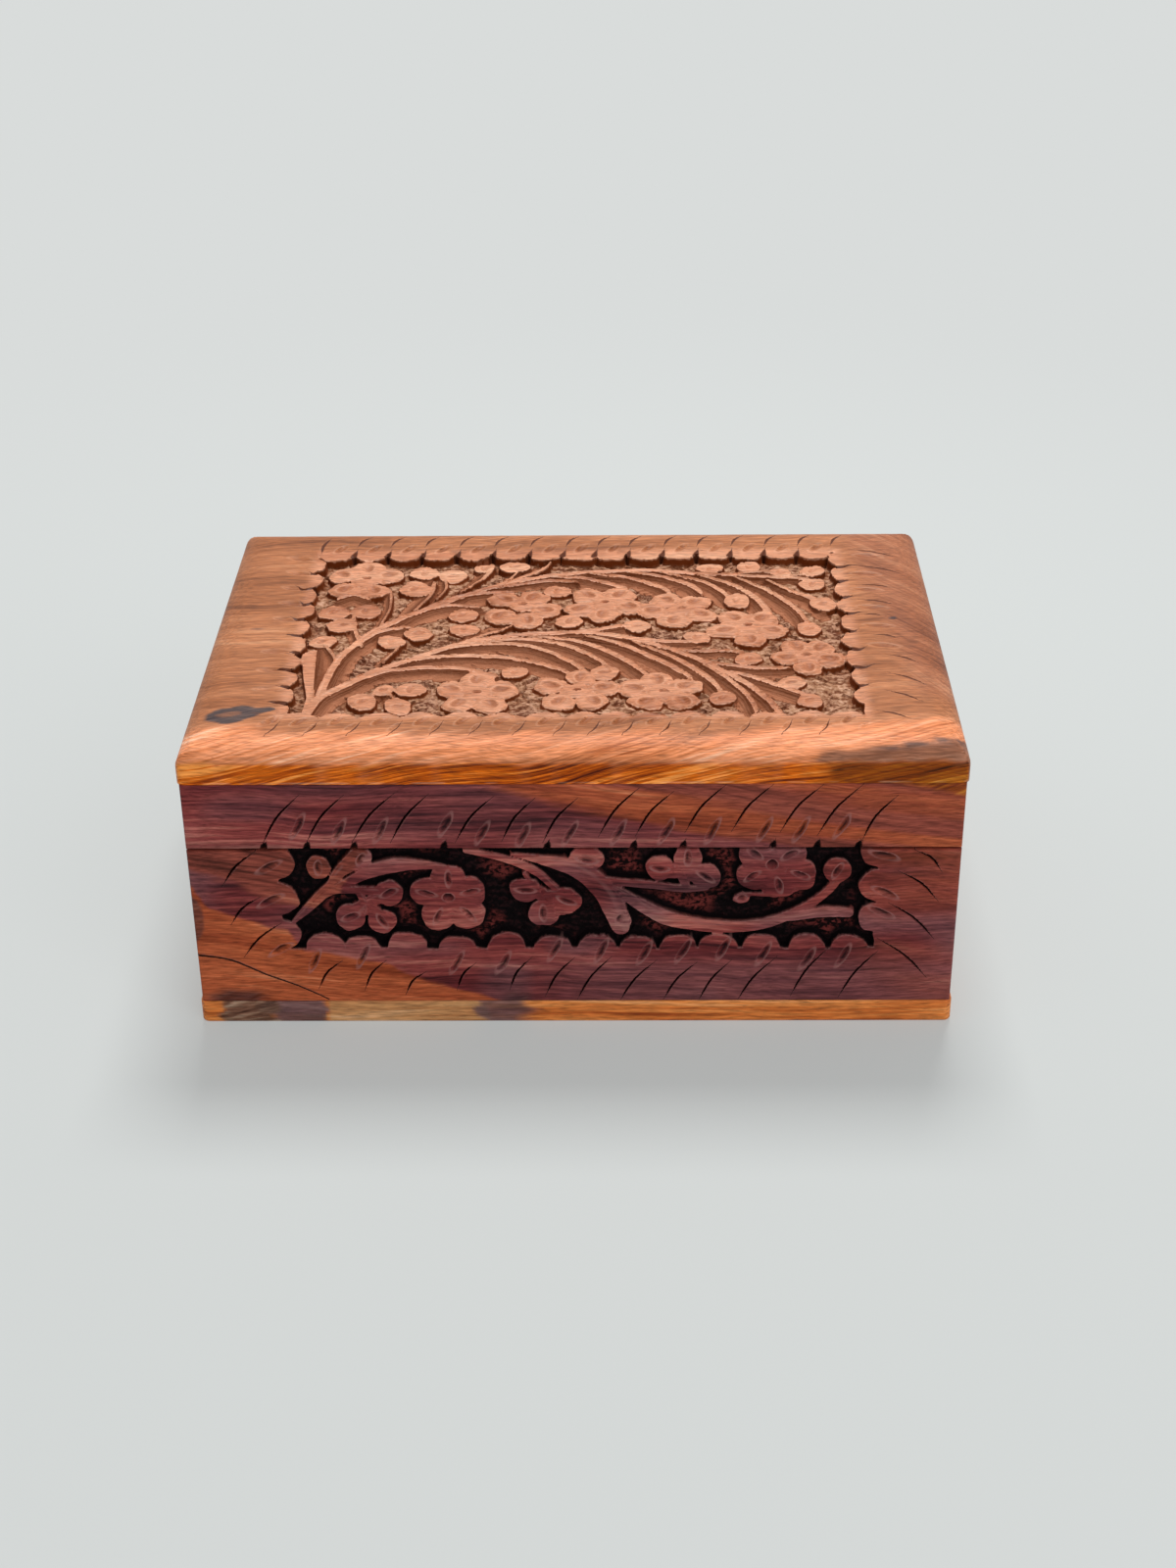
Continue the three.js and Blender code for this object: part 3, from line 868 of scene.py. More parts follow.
@dataclass(frozen=True)
class CutColours:
    """The colours of wood where the chisel has opened it.

    ground and mottle are the chopped ground and its torn patches, from dark to pale, wall the upright
    walls, darker end grain with painted shade on it, slope the long slopes from top to foot, darkened
    towards one end as painted shade, hollow the pores and the painted shade of hollows and slits, rim
    the pale of the edges, partly wear and partly painted highlight, and of the dimples' painted highlight,
    and line the grooves' painted shade. The shares say how strong each is, and torn_from where the torn
    patches start.
    """

    ground: tuple[str, str, str]
    mottle: tuple[str, str]
    wall: str
    slope: tuple[str, str]
    hollow: str
    rim: str
    line: str
    cavity_shade_share: float
    slit_share: float
    rim_share: float
    ring_share: float
    torn_from: float = 0.42


# The numbers painted on the carved boards
PAINTED = ("edge", "slant", "ridge", "cavity_shade", "rim", "ink", "dimple", "lip_highlight", "vein", "across")

# Each mask reads a painted number, and rises between the two values that follow
MASKS = {
    "apart": ("edge", -0.14, -0.24),
    "outside": ("edge", -0.01, -0.07),
    "ground": ("edge", -0.26, -0.42),
    "open_ground": ("edge", -0.7, -1.5),
    "brink": ("edge", 0.32, 0.06),
    "shore": ("edge", -0.1, -0.02),
    "inside": ("edge", 0.1, 0.3),
    "slope": ("slant", 0.0, 0.05),
    "slit": ("dimple", 1.12, 1.4),
    "beside": ("vein", 0.55, 0.75),
}

# Each lies round one value of its number, which stands first, and rises between two distances from it
LINE_MASKS = {
    "off_ridge": ("ridge", 0.0, 0.92, 1.12),
    "crest": ("ridge", 0.35, 0.3, 0.1),
    "ring": ("dimple", 0.92, 0.2, 0.08),
    "line": ("across", 0.0, 1.1, 0.7),
    "groove_edge_highlight": ("across", 1.75, 0.6, 0.2),
}


@dataclass(frozen=True)
class Wood:
    """Oiled sheesham with open pores.

    The eye sees growth figure and fine streaks along the grain, short dark pores, a low sheen on the
    sanded tops, and a matt, torn surface where the chisel has opened the wood. dip is how steeply the
    growth layers dip into the face, in degrees, figure_mm the width of the figure, and swing_mm how far
    the grain swings to and fro.
    """

    name: str
    face: Face
    tones: tuple[Tone, ...]
    cuts: CutColours
    dip: float = 20.0
    figure_mm: float = 9.0
    swing_mm: float = 3.0
    sanded: float = 0.46
    torn: float = 0.88
    specular: float = 0.2

    def material(self) -> Material:
        """Builds the material."""
        return WoodShade(self).finish()


class WoodShade(Shade):
    """A wood under construction, with its places on the face and the numbers painted on the board."""

    def __init__(self, wood: Wood) -> None:
        """Lays the places flat, bends them with the grain's swing, and reads the painted numbers.

        Args:
            wood: The wood.
        """
        super().__init__(wood.name)
        self.wood = wood
        add = self.add
        self.flat = add("Mapping", add("TexCoord", output="Object"), Rotation=wood.face.turn())
        drift = add("TexNoise", self.flat, *per_metre(38.46), 2.0, output="Color")
        centred = add("VectorMath", drift, (0.5, 0.5, 0.5), operation="SUBTRACT")
        reach = 2.0 * wood.swing_mm * MM
        swing = add("VectorMath", centred, (0.0, reach, reach), operation="MULTIPLY")
        self.bent = add("VectorMath", self.flat, swing, operation="ADD")
        self.read = {label: add("Attribute", output="Fac", attribute_name=label) for label in PAINTED}

    def marks(self, place: NodeSocket, sizes_mm: dict[str, tuple[float, ...]]) -> dict:
        """Draws soft marks, stretched along the grain.

        Args:
            place: The place on the face.
            sizes_mm: The marks' length, width, depth and detail, for each layer that is drawn.

        Returns:
            Each layer's level.
        """
        layers = {}
        for label, (*sizes, detail) in sizes_mm.items():
            stretched = self.add("Mapping", place, Scale=per_metre(*sizes))
            layers[label] = self.add("TexNoise", stretched, 1.0, detail)
        return layers

    def streaks(self, tone: Tone) -> NodeSocket:
        """Works out how dark or pale the wood's streaks are for one tone.

        Args:
            tone: The tone.

        Returns:
            The level from 0 to 1.
        """
        add, wood = self.add, self.wood
        # The growth layers dip into the face, so that a streak runs on round the board's edge.
        dip = math.radians(wood.dip)
        turn = math.atan(math.tan(math.radians(tone.turn)) * math.cos(dip))
        turned = add("Mapping", self.bent, Rotation=(-dip, 0.0, -turn))
        squeezed = wood.figure_mm * math.cos(dip)
        layers = self.marks(turned, {"figure": (70.0, squeezed, 50.0, 3.0),
                                     "growth": (150.0, 1.6 * squeezed, 50.0, 0.0),
                                     "streak": (tone.reach_mm, 0.75 * math.cos(dip), 50.0, 3.0)})
        turns = add("Math", layers["growth"], 60.0, operation="MULTIPLY")
        rings = add("Math", turns, operation="SINE")
        mixed = add("Math", layers["streak"], tone.streak, layers["figure"], operation="MULTIPLY_ADD")
        level = add("Math", rings, 0.03, mixed, operation="MULTIPLY_ADD")
        middle = 0.5 + 0.5 * tone.streak
        return add("MapRange", level, middle - tone.spread, middle + tone.spread)

    def uncut(self) -> NodeSocket:
        """Lays the tones over each other, each in its painted zone.

        Returns:
            The colour of the uncut wood, without its fibres.
        """
        colour = None
        for tone in self.wood.tones:
            ramp = spread_colours(self.add("ValToRGB", self.streaks(tone)), tone.colours)
            if colour is None:
                colour = ramp
            else:
                zone = self.add("Attribute", output="Fac", attribute_name=tone.zone)
                colour = self.add("Mix", zone, colour, ramp, data_type="RGBA")
        return colour

    def masks(self) -> dict[str, NodeSocket]:
        """Turns the painted numbers into masks of the cut wood's parts.

        Returns:
            A share from 0 to 1 for each part.
        """
        add = self.add
        found = {}
        for label, (source, *ends) in MASKS.items():
            found[label] = add("MapRange", self.read[source], *ends)
        for label, (source, middle, *ends) in LINE_MASKS.items():
            away = add("Math", self.read[source], middle, operation="SUBTRACT")
            found[label] = add("MapRange", add("Math", away, operation="ABSOLUTE"), *ends)
        off = add("Math", found["off_ridge"], found["apart"], operation="MAXIMUM")
        found["outside"] = add("Math", found["outside"], off, operation="MULTIPLY")
        found["line"] = add("Math", found["line"], found["beside"], operation="MULTIPLY")
        return found

    def ground(self, blotch: NodeSocket, where: NodeSocket,
               open_ground: NodeSocket) -> tuple[NodeSocket, NodeSocket]:
        """Draws the chopped ground: short cuts in two ways, each with its own tone and a dark edge.

        Args:
            blotch: Fine blotches.
            where: The share of the second way of cutting.
            open_ground: The share that lies well away from the walls.

        Returns:
            The ground's colour, and how high its torn fibres stand.
        """
        add, cuts = self.add, self.wood.cuts
        chops = []
        for turn in (0.75, -0.55):
            cut = add("Mapping", self.flat, Rotation=(0.0, 0.0, turn),
                      Scale=per_metre(2.0833, 0.66667, 1.1111))
            cell = add("TexVoronoi", cut, 1.0)
            facet = add("SeparateColor", cell.node.outputs["Color"])
            chops.append(add("Math", cell, -0.55, facet, operation="MULTIPLY_ADD"))
        torn = add("Math", blotch, 3.2, add("Mix", where, *chops), operation="MULTIPLY_ADD")
        torn = add("MapRange", torn, 1.15, 2.5)
        plain = spread_colours(add("ValToRGB", torn), cuts.ground)
        mottled = add("Mix", add("MapRange", torn, 0.25, 0.75), *map(linear, cuts.mottle), data_type="RGBA")
        patch = add("TexNoise", self.flat, *per_metre(10.526), 2.0)
        patch = add("MapRange", patch, cuts.torn_from, cuts.torn_from + 0.14)
        # Right beside the walls the ground is kept plain and darkest, as painted shade.
        patch = add("Math", patch, open_ground, operation="MULTIPLY")
        return add("Mix", patch, plain, mottled, data_type="RGBA"), torn

    def pared(self) -> NodeSocket:
        """Draws the long slopes, which are pared in several strokes that leave lines along them, and darkens
        them towards one end as painted shade.

        Returns:
            The slopes' colour.
        """
        add, slant = self.add, self.read["slant"]
        strokes = add("VectorMath", add("CombineXYZ", slant), (11.0, 0.0, 0.0), operation="MULTIPLY")
        along = (*per_metre(11.111, 11.111), 0.0)
        strokes = add("VectorMath", self.flat, along, strokes, operation="MULTIPLY_ADD")
        lines = add("TexNoise", strokes, 1.0, 3.0)
        down = add("MapRange", add("Math", lines, 1.3, slant, operation="MULTIPLY_ADD"), 0.7, 1.5)
        return add("Mix", down, *map(linear, self.wood.cuts.slope), data_type="RGBA")

    def finish(self) -> Material:
        """Lays everything over the uncut wood, and sets the shine and the fine relief.

        Returns:
            The finished wood.
        """
        add, wood, cuts, read, masks = self.add, self.wood, self.wood.cuts, self.read, self.masks()
        colour = self.uncut()
        # The pores are drawn about twice as wide as real ones, which would not show.
        lines = self.marks(self.bent, {"fibre": (3.6, 0.34, 0.34, 2.0), "pore": (3.0, 0.28, 0.28, 2.0)})
        pores = add("MapRange", lines["pore"], 0.62, 0.72, 0.0, 0.5)
        fibres = add("MapRange", lines["fibre"], 0.3, 0.7, 0.68, 1.36)
        where = add("MapRange", add("TexNoise", self.flat, *per_metre(6.6667), 1.0), 0.45, 0.55)
        blotch = add("TexNoise", self.flat, *per_metre(0.76923), 4.0)
        wear_and_highlight = add("MapRange", blotch, 0.35, 0.6)
        floor, torn = self.ground(blotch, where, masks["open_ground"])
        hollow, rim = linear(cuts.hollow), linear(cuts.rim)
        # Each layer has its masks, which are multiplied, its strength, its colour and how it is laid on. The
        # walls take their darker end grain with painted shade on it, the slopes their painted shade, the
        # hollows and the slits painted shade, and the dimples' rings a painted highlight. The last ones are
        # the pale edges, partly wear and partly painted highlight, the painted highlight along the vine's
        # crest, the painted highlight beside the grooves, and the grooves darkened as painted shade.
        for shares, strength, tint, how in (
                ((), 1.0, fibres, "MULTIPLY"),
                ((pores,), 0.8, hollow, "MIX"),
                ((masks["outside"],), 1.0, linear(cuts.wall), "MIX"),
                ((masks["ground"],), 1.0, floor, "MIX"),
                ((masks["slope"], masks["outside"]), 0.95, self.pared(), "MIX"),
                ((read["cavity_shade"],), cuts.cavity_shade_share, hollow, "MIX"),
                ((masks["slit"], read["ink"]), cuts.slit_share, hollow, "MIX"),
                ((masks["ring"], read["lip_highlight"]), cuts.ring_share, rim, "MIX"),
                ((masks["brink"], masks["shore"], read["rim"], wear_and_highlight), cuts.rim_share, rim, "MIX"),
                ((masks["crest"], masks["inside"], where), 0.4 * cuts.rim_share, rim, "MIX"),
                ((masks["groove_edge_highlight"], masks["beside"], wear_and_highlight), 0.6 * cuts.ring_share, rim, "MIX"),
                ((masks["line"],), 0.96, linear(cuts.line), "MIX")):
            part = strength
            for share in shares:
                part = add("Math", share, part, operation="MULTIPLY", use_clamp=True)
            colour = add("Mix", part, colour, tint, data_type="RGBA", blend_type=how)

        height = add("Math", pores, -1.2, lines["fibre"], operation="MULTIPLY_ADD")
        height = add("Math", masks["line"], -3.0, height, operation="MULTIPLY_ADD")
        chopped = add("Math", torn, masks["ground"], operation="MULTIPLY")
        height = add("Math", chopped, 2.6, height, operation="MULTIPLY_ADD")
        return self.look({
            "Base Color": colour,
            "Specular IOR Level": wood.specular,
            "Roughness": add("MapRange", masks["outside"], 0.0, 1.0, wood.sanded, wood.torn),
            "Normal": add("Bump", Strength=0.5, Distance=0.12 * MM, Height=height),
        })


@dataclass(frozen=True)
class Velvet:
    """Short-pile velvet over card: deep in the face and pale where the pile turns away."""

    name: str
    colour: str
    pale: str
    tint: str

    def material(self) -> Material:
        """Builds the material.

        Returns:
            The finished velvet.
        """
        shade = Shade(self.name)
        add = shade.add
        place = add("TexCoord", output="Object")
        brushed = add("TexNoise", place, *per_metre(18.182), 3.0)
        # The pile is drawn several times as coarse as it is, so that it shows.
        pile = add("TexNoise", place, *per_metre(0.38462), 2.0)
        level = add("MapRange", add("Math", pile, 0.5, brushed, operation="MULTIPLY_ADD"), 0.5, 1.0)
        return shade.look({
            "Base Color": add("Mix", level, linear(self.colour), linear(self.pale), data_type="RGBA"),
            "Roughness": 0.95,
            "Specular IOR Level": 0.15,
            "Sheen Weight": 0.4,
            "Sheen Roughness": 0.35,
            "Sheen Tint": linear(self.tint),
            "Normal": add("Bump", Strength=0.5, Distance=0.2 * MM, Height=pile),
        })


@dataclass(frozen=True)
class Metal:
    """Rolled sheet metal, dulled by handling, with faint rolling lines."""

    name: str
    colour: str
    dull: str
    roughness: float

    def material(self) -> Material:
        """Builds the material.

        Returns:
            The finished metal.
        """
        shade = Shade(self.name)
        add = shade.add
        place = add("TexCoord", output="Object")
        cloud = add("TexNoise", place, *per_metre(3.8462), 4.0)
        # The rolling lines are drawn coarser than they are, so that they show.
        rolled = add("TexNoise", add("Mapping", place, Scale=per_metre(3.3333, 0.19231, 0.19231)), 1.0, 1.0)
        tarnish = add("MapRange", cloud, 0.4, 0.75)
        return shade.look({
            "Base Color": add("Mix", tarnish, linear(self.colour), linear(self.dull), data_type="RGBA"),
            "Metallic": 1.0,
            "Roughness": add("MapRange", cloud, 0.0, 1.0, self.roughness - 0.1, self.roughness + 0.2),
            "Normal": add("Bump", Strength=0.25, Distance=0.05 * MM, Height=rolled),
        })


class Finishes:
    """Every finish of the box, made once."""

    def __init__(self) -> None:
        """Builds the materials."""
        salmon = Tone("", ("#98583a", "#ba7856", "#ca8a68", "#d8a07e"), turn=9.0, spread=0.28)
        margin = Tone("margin", ("#724024", "#9a5d38", "#b1714a", "#c48962"), turn=6.0, streak=0.55,
                      spread=0.29)
        bright = Tone("near", ("#a8582e", "#d88252", "#f29c6e", "#ffc49e"), turn=27.0, streak=0.9, spread=0.3,
                      reach_mm=11.0)
        orange = Tone("roundover", ("#561800", "#b04a00", "#e27010", "#ffa04c"), turn=20.0, streak=1.0,
                      spread=0.22, reach_mm=15.0)
        gold = Tone("heart", ("#3a1600", "#803600", "#a05208", "#cc8226"), turn=26.0, streak=0.8, spread=0.24)
        mauve = Tone("mauve", ("#5c3a2c", "#865a46", "#9a6e5a", "#b08a78"), turn=12.0, streak=0.5)
        curl = Tone("curl", ("#744028", "#925638", "#a26444", "#b67a58"), turn=-52.0, streak=0.7,
                    reach_mm=9.0)
        ash = Tone("knot", ("#1e1418", "#3e3032", "#584642", "#7c665a"), turn=24.0, streak=0.8, reach_mm=7.0)
        purple = Tone("", ("#381418", "#6e2c2e", "#924440", "#bc7064"), streak=0.7, spread=0.25)
        taupe = Tone("taupe", ("#40242a", "#6c464a", "#86585a", "#a07872"), streak=0.6, spread=0.28)
        rust = Tone("sap", ("#622612", "#a04a2c", "#c2643e", "#e29268"), turn=-6.0, streak=0.5, spread=0.28)
        dull = Tone("dull", ("#52261e", "#823f34", "#9c4f40", "#b66c56"), turn=-12.0, streak=0.7)
        brown = Tone("", ("#4a2823", "#6c3a30", "#80483a", "#965c48"), streak=0.35, spread=0.3)
        tan = Tone("", ("#984216", "#d87634", "#f0944c", "#ffb474"), streak=0.7, spread=0.24)
        pale = Tone("heart", ("#84502c", "#bc8454", "#d4a06c", "#eabc90"), streak=0.6, spread=0.24)
        bark = Tone("knot", ("#3a241c", "#745040", "#9c7c66", "#c8ac96"), turn=14.0, streak=0.9, spread=0.27,
                    reach_mm=5.0)
        slate = Tone("slate", ("#3a282e", "#5c444a", "#70565c", "#8a7074"), turn=-4.0, streak=0.5)
        # The cut wood's colours carry painted shade on the walls, slopes, hollows and grooves, and painted
        # highlights on the edges and dimples.
        top_cuts = CutColours(
            ground=("#76462f", "#aa7b5c", "#d2a488"), mottle=("#683a26", "#bc8c70"), wall="#6a2e0c",
            slope=("#5c2a0e", "#b47454"), hollow="#7c3c18", rim="#f0bd9e", line="#52240f",
            cavity_shade_share=0.5, slit_share=0.8, rim_share=0.6, ring_share=0.15)
        front_cuts = CutColours(
            ground=("#040102", "#0b0506", "#261113"), mottle=("#100405", "#6e2e2b"), wall="#080304",
            slope=("#2a1414", "#050203"), hollow="#10060a", rim="#a87672", line="#080304",
            cavity_shade_share=0.45, slit_share=0.9, rim_share=0.55, ring_share=0.55, torn_from=0.48)
        end_cuts = replace(front_cuts, mottle=("#1c0a0a", "#5a2c26"), rim="#a8786a")
        # Sanded and oiled salmon sapwood, which the carving opens to brown, with paler wood and a painted
        # sheen along the near edge; its front arris is bright orange
        tones = salmon, margin, curl, bright, mauve, orange, gold, ash
        self.panel = Wood("sheesham_panel", Face.TOP, tones, top_cuts, dip=60.0, specular=0.12).material()
        # Purple heartwood with a wedge of orange sapwood, almost black where it is cut
        self.front = Wood("sheesham_front", Face.FRONT, (purple, taupe, dull, rust, gold, ash), front_cuts,
                          specular=0.08).material()
        # Plain brown heartwood with an even, quiet figure
        self.side = Wood("sheesham_back", Face.FRONT, (brown, rust), end_cuts, specular=0.15).material()
        self.across = Wood("sheesham_end", Face.RIGHT, (brown, rust), end_cuts, specular=0.1).material()
        # Tan wood with pale, slate and rough barky stretches along its edge
        self.base = Wood("sheesham_base", Face.FRONT, (tan, pale, slate, bark), end_cuts, figure_mm=5.0,
                         swing_mm=1.5).material()
        # Deep red pile that turns rosy at a low angle
        self.velvet = Velvet("burgundy_velvet", "#5a1020", "#8a2a3c", tint="#c4566c").material()
        # Yellow metal gone brown in clouds
        self.brass = Metal("aged_brass", "#c9a35a", "#8f6d35", roughness=0.34).material()
        # Grey drawn wire with a soft shine
        self.pin = Metal("steel_wire", "#a8a49c", "#7d776c", roughness=0.36).material()


def mount(piece: Object, body: Body, slot: Slot, node: str) -> Object:
    """Hangs a finished piece on its body and hides the CAD node that it stands for.

    Args:
        piece: The piece.
        body: The body that it rides on.
        slot: Not used.
        node: The CAD node that it stands for.

    Returns:
        The same piece.
    """
    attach(piece, body.value)
    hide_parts(node)
    LOG.info("%s rides on %s", piece.name, body.value)
    return piece


def piece_from(shell: BMesh, name: str, material: Material) -> Object:
    """Turns a finished bmesh into a piece.

    Args:
        shell: The bmesh, which is freed.
        name: The piece's name.
        material: Its finish.

    Returns:
        The piece at the origin.
    """
    mesh = bpy.data.meshes.new(name)
    shell.to_mesh(mesh)
    shell.free()
    mesh.materials.append(material)
    piece = bpy.data.objects.new(name, mesh)
    bpy.context.scene.collection.objects.link(piece)
    return piece


def paint(mesh: Mesh, label: str, values: Map) -> None:
    """Keeps one number at every vertex for the material to read."""
    layer = mesh.attributes.new(label, "FLOAT", "POINT")
    layer.data.foreach_set("value", values.astype(np.float32))


def soften(mesh: Mesh, degrees: float) -> None:
    """Shades a mesh smooth, apart from the edges sharper than an angle."""
    mesh.shade_smooth()
    mesh.set_sharp_from_angle(angle=math.radians(degrees))


def places_of(mesh: Mesh) -> Map:
    """Gives a mesh's places, one row each."""
    flat = np.empty(len(mesh.vertices) * 3)
    mesh.vertices.foreach_get("co", flat)
    return flat.reshape(-1, 3)


def block(node: str) -> BMesh:
    """Starts a bmesh with a block that fills the box of a CAD node.

    Args:
        node: The CAD node.

    Returns:
        The bmesh.
    """
    low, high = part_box(node)
    shell = bmesh.new()
    bmesh.ops.create_cube(shell, size=1.0)
    bmesh.ops.scale(shell, verts=shell.verts, vec=[b - a for a, b in zip(low, high)])
    bmesh.ops.translate(shell, verts=shell.verts, vec=[(a + b) / 2 for a, b in zip(low, high)])
    return shell


def bevel(shell: BMesh, edges: Sequence[BMEdge], width: float, segments: int) -> None:
    """Rounds edges to a width in millimetres."""
    bmesh.ops.bevel(shell, geom=edges, offset=width * MM, offset_type="OFFSET", affect="EDGES",
                    segments=segments, profile=0.5, material=-1)


def quarter_drop(distance: Map, width: float, height: float) -> Map:
    """Gives how far a rounded arris of a width and height drops at a distance in from the board's end."""
    left = np.clip(1.0 - distance / width, 0.0, 1.0)
    return height * (1.0 - np.sqrt(1.0 - left ** 2))


@dataclass(frozen=True)
class Rule:
    """How a board's grid lines are laid along one way of its face.

    arris is the width of its rounded ends and steps how many lines each of them gets. marks are the places
    between them where the pitch changes, and pitches the pitch of each stretch.
    """

    arris: float
    steps: int
    marks: tuple[float, ...]
    pitches: tuple[float, ...]

    def lines(self, low: float, high: float) -> Map:
        """Lays the lines.

        Args:
            low: The board's lower end.
            high: Its upper end.

        Returns:
            The places of all the lines.
        """
        rounding = self.arris * (1.0 - np.cos(np.linspace(0.0, math.pi / 2, self.steps + 1)))
        start, finish = low + rounding, (high - rounding)[::-1]
        rows = [start]
        for (near, far), pitch in zip(pairwise((start[-1], *self.marks, finish[0])), self.pitches):
            count = max(1, round((far - near) / pitch))
            rows.append(np.linspace(near, far, count + 1)[1:])
        return np.concatenate([*rows, finish[1:]])


@dataclass
class CarvedBoard:
    """A board with one worked face, drawn in millimetres along the face and up it.

    depth is the depth of its sunk ground and foot the run of the walls. lit is 1 where the rims' painted
    highlight lies on the edges that face down and -1 where it lies on those that face up, rough the height
    of the ground's facets, lumpy that of the motifs' tops, and corner the radius of the outline's corners.
    """

    name: str
    body: Body
    slot: Slot
    face: Face
    along: Rule = Rule(0.5, 4, (-64.0, 66.0), (0.42, 0.28, 0.42))
    up: Rule = Rule(0.4, 4, (), (0.28,))
    depth: float = 1.8
    foot: float = 0.28
    lit: float = 1.0
    rough: float = 0.3
    lumpy: float = 0.1
    corner: float = 0.0

    def carve(self, relief: Relief) -> None:
        """Cuts the face's pattern."""

    def sink(self, u: Map, v: Map) -> Map:
        """Gives the depth of the ground at every place."""
        return np.full(u.shape, self.depth)

    def fall(self, in_u: Map, in_v: Map) -> Map:
        """Gives the drop of the eased arrises at distances in from the ends."""
        return np.maximum(quarter_drop(in_u, 0.5, 0.5), quarter_drop(in_v, 0.4, 0.4))

    def zones(self, u: Map, v: Map) -> dict[str, Map]:
        """Gives the painted zones of the wood."""
        return {}

    def rounded(self, place: Map, low: Map, high: Map) -> Map:
        """Draws the corner squares of the outline in to quarter discs.

        Args:
            place: Places along the face and up it, one row each.
            low: The lowest place along the face and up it.
            high: The highest.

        Returns:
            The moved places.
        """
        off = place - (low + high) / 2
        past = np.clip(np.abs(off) - (high - low) / 2 + self.corner, 0.0, None)
        length = np.maximum(np.hypot(*past.T), TINY)
        shrink = np.where((past > 0).all(1), past.max(1) / length, 1.0)
        return place - np.sign(off) * past * (1.0 - shrink)[:, None]

    def build(self, material: Material) -> Object:
        """Makes the board as one closed mesh in place of its CAD node.

        Args:
            material: The wood.

        Returns:
            The piece.
        """
        corners = np.array(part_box(self.name)) / MM @ np.array(self.face.value, float).T
        low, high = corners.min(0).round(4), corners.max(0).round(4)
        lines_u, lines_v = self.along.lines(low[0], high[0]), self.up.lines(low[1], high[1])
        columns, rows = len(lines_u) - 1, len(lines_v) - 1
        shell = bmesh.new()
        bmesh.ops.create_grid(shell, x_segments=columns, y_segments=rows, size=0.5)
        rim = [edge for edge in shell.edges if edge.is_boundary]
        walls = bmesh.ops.extrude_edge_only(shell, edges=rim)["geom"]
        back = [part for part in walls if isinstance(part, BMVert)]
        bmesh.ops.translate(shell, verts=back, vec=(0.0, 0.0, -1.0))
        bmesh.ops.contextual_create(shell, geom=[edge for edge in shell.edges if edge.is_boundary])
        bmesh.ops.recalc_face_normals(shell, faces=shell.faces)
        piece = piece_from(shell, self.name + "_carved", material)
        self.shape(piece.data, Relief(self, lines_u, lines_v), low, high)
        return mount(piece, self.body, self.slot, self.name)

    def shape(self, mesh: Mesh, relief: Relief, low: Map, high: Map) -> None:
        """Moves the flat grid to the worked face and paints its numbers and zones.

        Args:
            mesh: The board as a unit grid with its back one unit below.
            relief: The uncut face.
            low: The board's lowest place along the face, up it and out of it.
            high: Its highest.
        """
        lines_u, lines_v = relief.lines_u, relief.lines_v
        columns, rows = len(lines_u) - 1, len(lines_v) - 1
        flat = places_of(mesh)
        column = np.rint((flat[:, 0] + 0.5) * columns).astype(int)
        row = np.rint((flat[:, 1] + 0.5) * rows).astype(int)
        grid_u, grid_v = np.meshgrid(lines_u, lines_v)
        in_u = np.minimum(grid_u - lines_u[0], lines_u[-1] - grid_u)
        in_v = np.minimum(grid_v - lines_v[0], lines_v[-1] - grid_v)
        self.carve(relief)
        height, painted = relief.work()
        height = height - self.fall(in_u, in_v)

        # The outline stays straight, and the carving moves only the points within it.
        face = flat[:, 2] > -0.5
        free_u = face & (column > 0) & (column < columns)
        free_v = face & (row > 0) & (row < rows)
        u = np.where(free_u, relief.u[row, column], lines_u[column])
        v = np.where(free_v, relief.v[row, column], lines_v[row])
        u, v = self.rounded(np.stack([u, v], axis=1), low[:2], high[:2]).T
        w = np.where(face, height[row, column] + high[2], low[2])
        places = np.stack([u, v, w], axis=1) @ np.array(self.face.value, float)
        mesh.vertices.foreach_set("co", (places * MM).ravel())
        for label, values in painted.items():
            paint(mesh, label, np.where(face, values[row, column], 3.0 if label == "edge" else 0.0))
        for label, values in self.zones(grid_u, grid_v).items():
            paint(mesh, label, values[row, column])
        mesh.update()
        # The shorter diagonals follow the carved edges.
        split = bmesh.new()
        split.from_mesh(mesh)
        bmesh.ops.triangulate(split, faces=split.faces, quad_method="SHORT_EDGE", ngon_method="EAR_CLIP")
        split.to_mesh(mesh)
        split.free()
        soften(mesh, 38)


TOP_FLOWERS = (
    Flower(-46, 25, ((-51.5, 27.2), (-46.2, 30.3), (-41, 26.8), (-50, 19.8), (-44, 19.3)), 3.5),
    Flower(-11.6, 11.8, ((-15.6, 14.6), (-9.3, 15.2), (-6.6, 9.4), (-10.4, 4.4), (-16.2, 6.4)), 3.4),
    Flower(6, 12.7, ((2.2, 16.4), (9.2, 16.6), (11, 10.8), (5.6, 7.2), (0.6, 9.8)), 3.4),
    Flower(22.3, 9.7, ((19.2, 14.2), (25.2, 13.2), (26.4, 7), (20.6, 4.4), (16.2, 9))),
    Flower(36, 1.4, ((33, 5.4), (39, 5), (41, -0.6), (36, -4.6), (31, -0.4)), 3.4),
    Flower(47.2, -12.2, ((43, -13), (45.4, -8.2), (50.4, -8.6), (51.8, -13.8), (47.2, -17.6)), 3),
    Flower(-19.4, -28, ((-19.2, -22.6), (-14.4, -26.6), (-16.4, -32.6), (-22.6, -32.4), (-24.4, -26.4))),
    Flower(0.6, -27.2, ((1.4, -21.6), (6.2, -25.8), (3.8, -31.8), (-3, -31.6), (-4.6, -25))),
    Flower(18, -27.8, ((16.6, -22.6), (22.4, -25.2), (21.4, -31.8), (14.4, -31.8), (12.2, -26.2))),
)

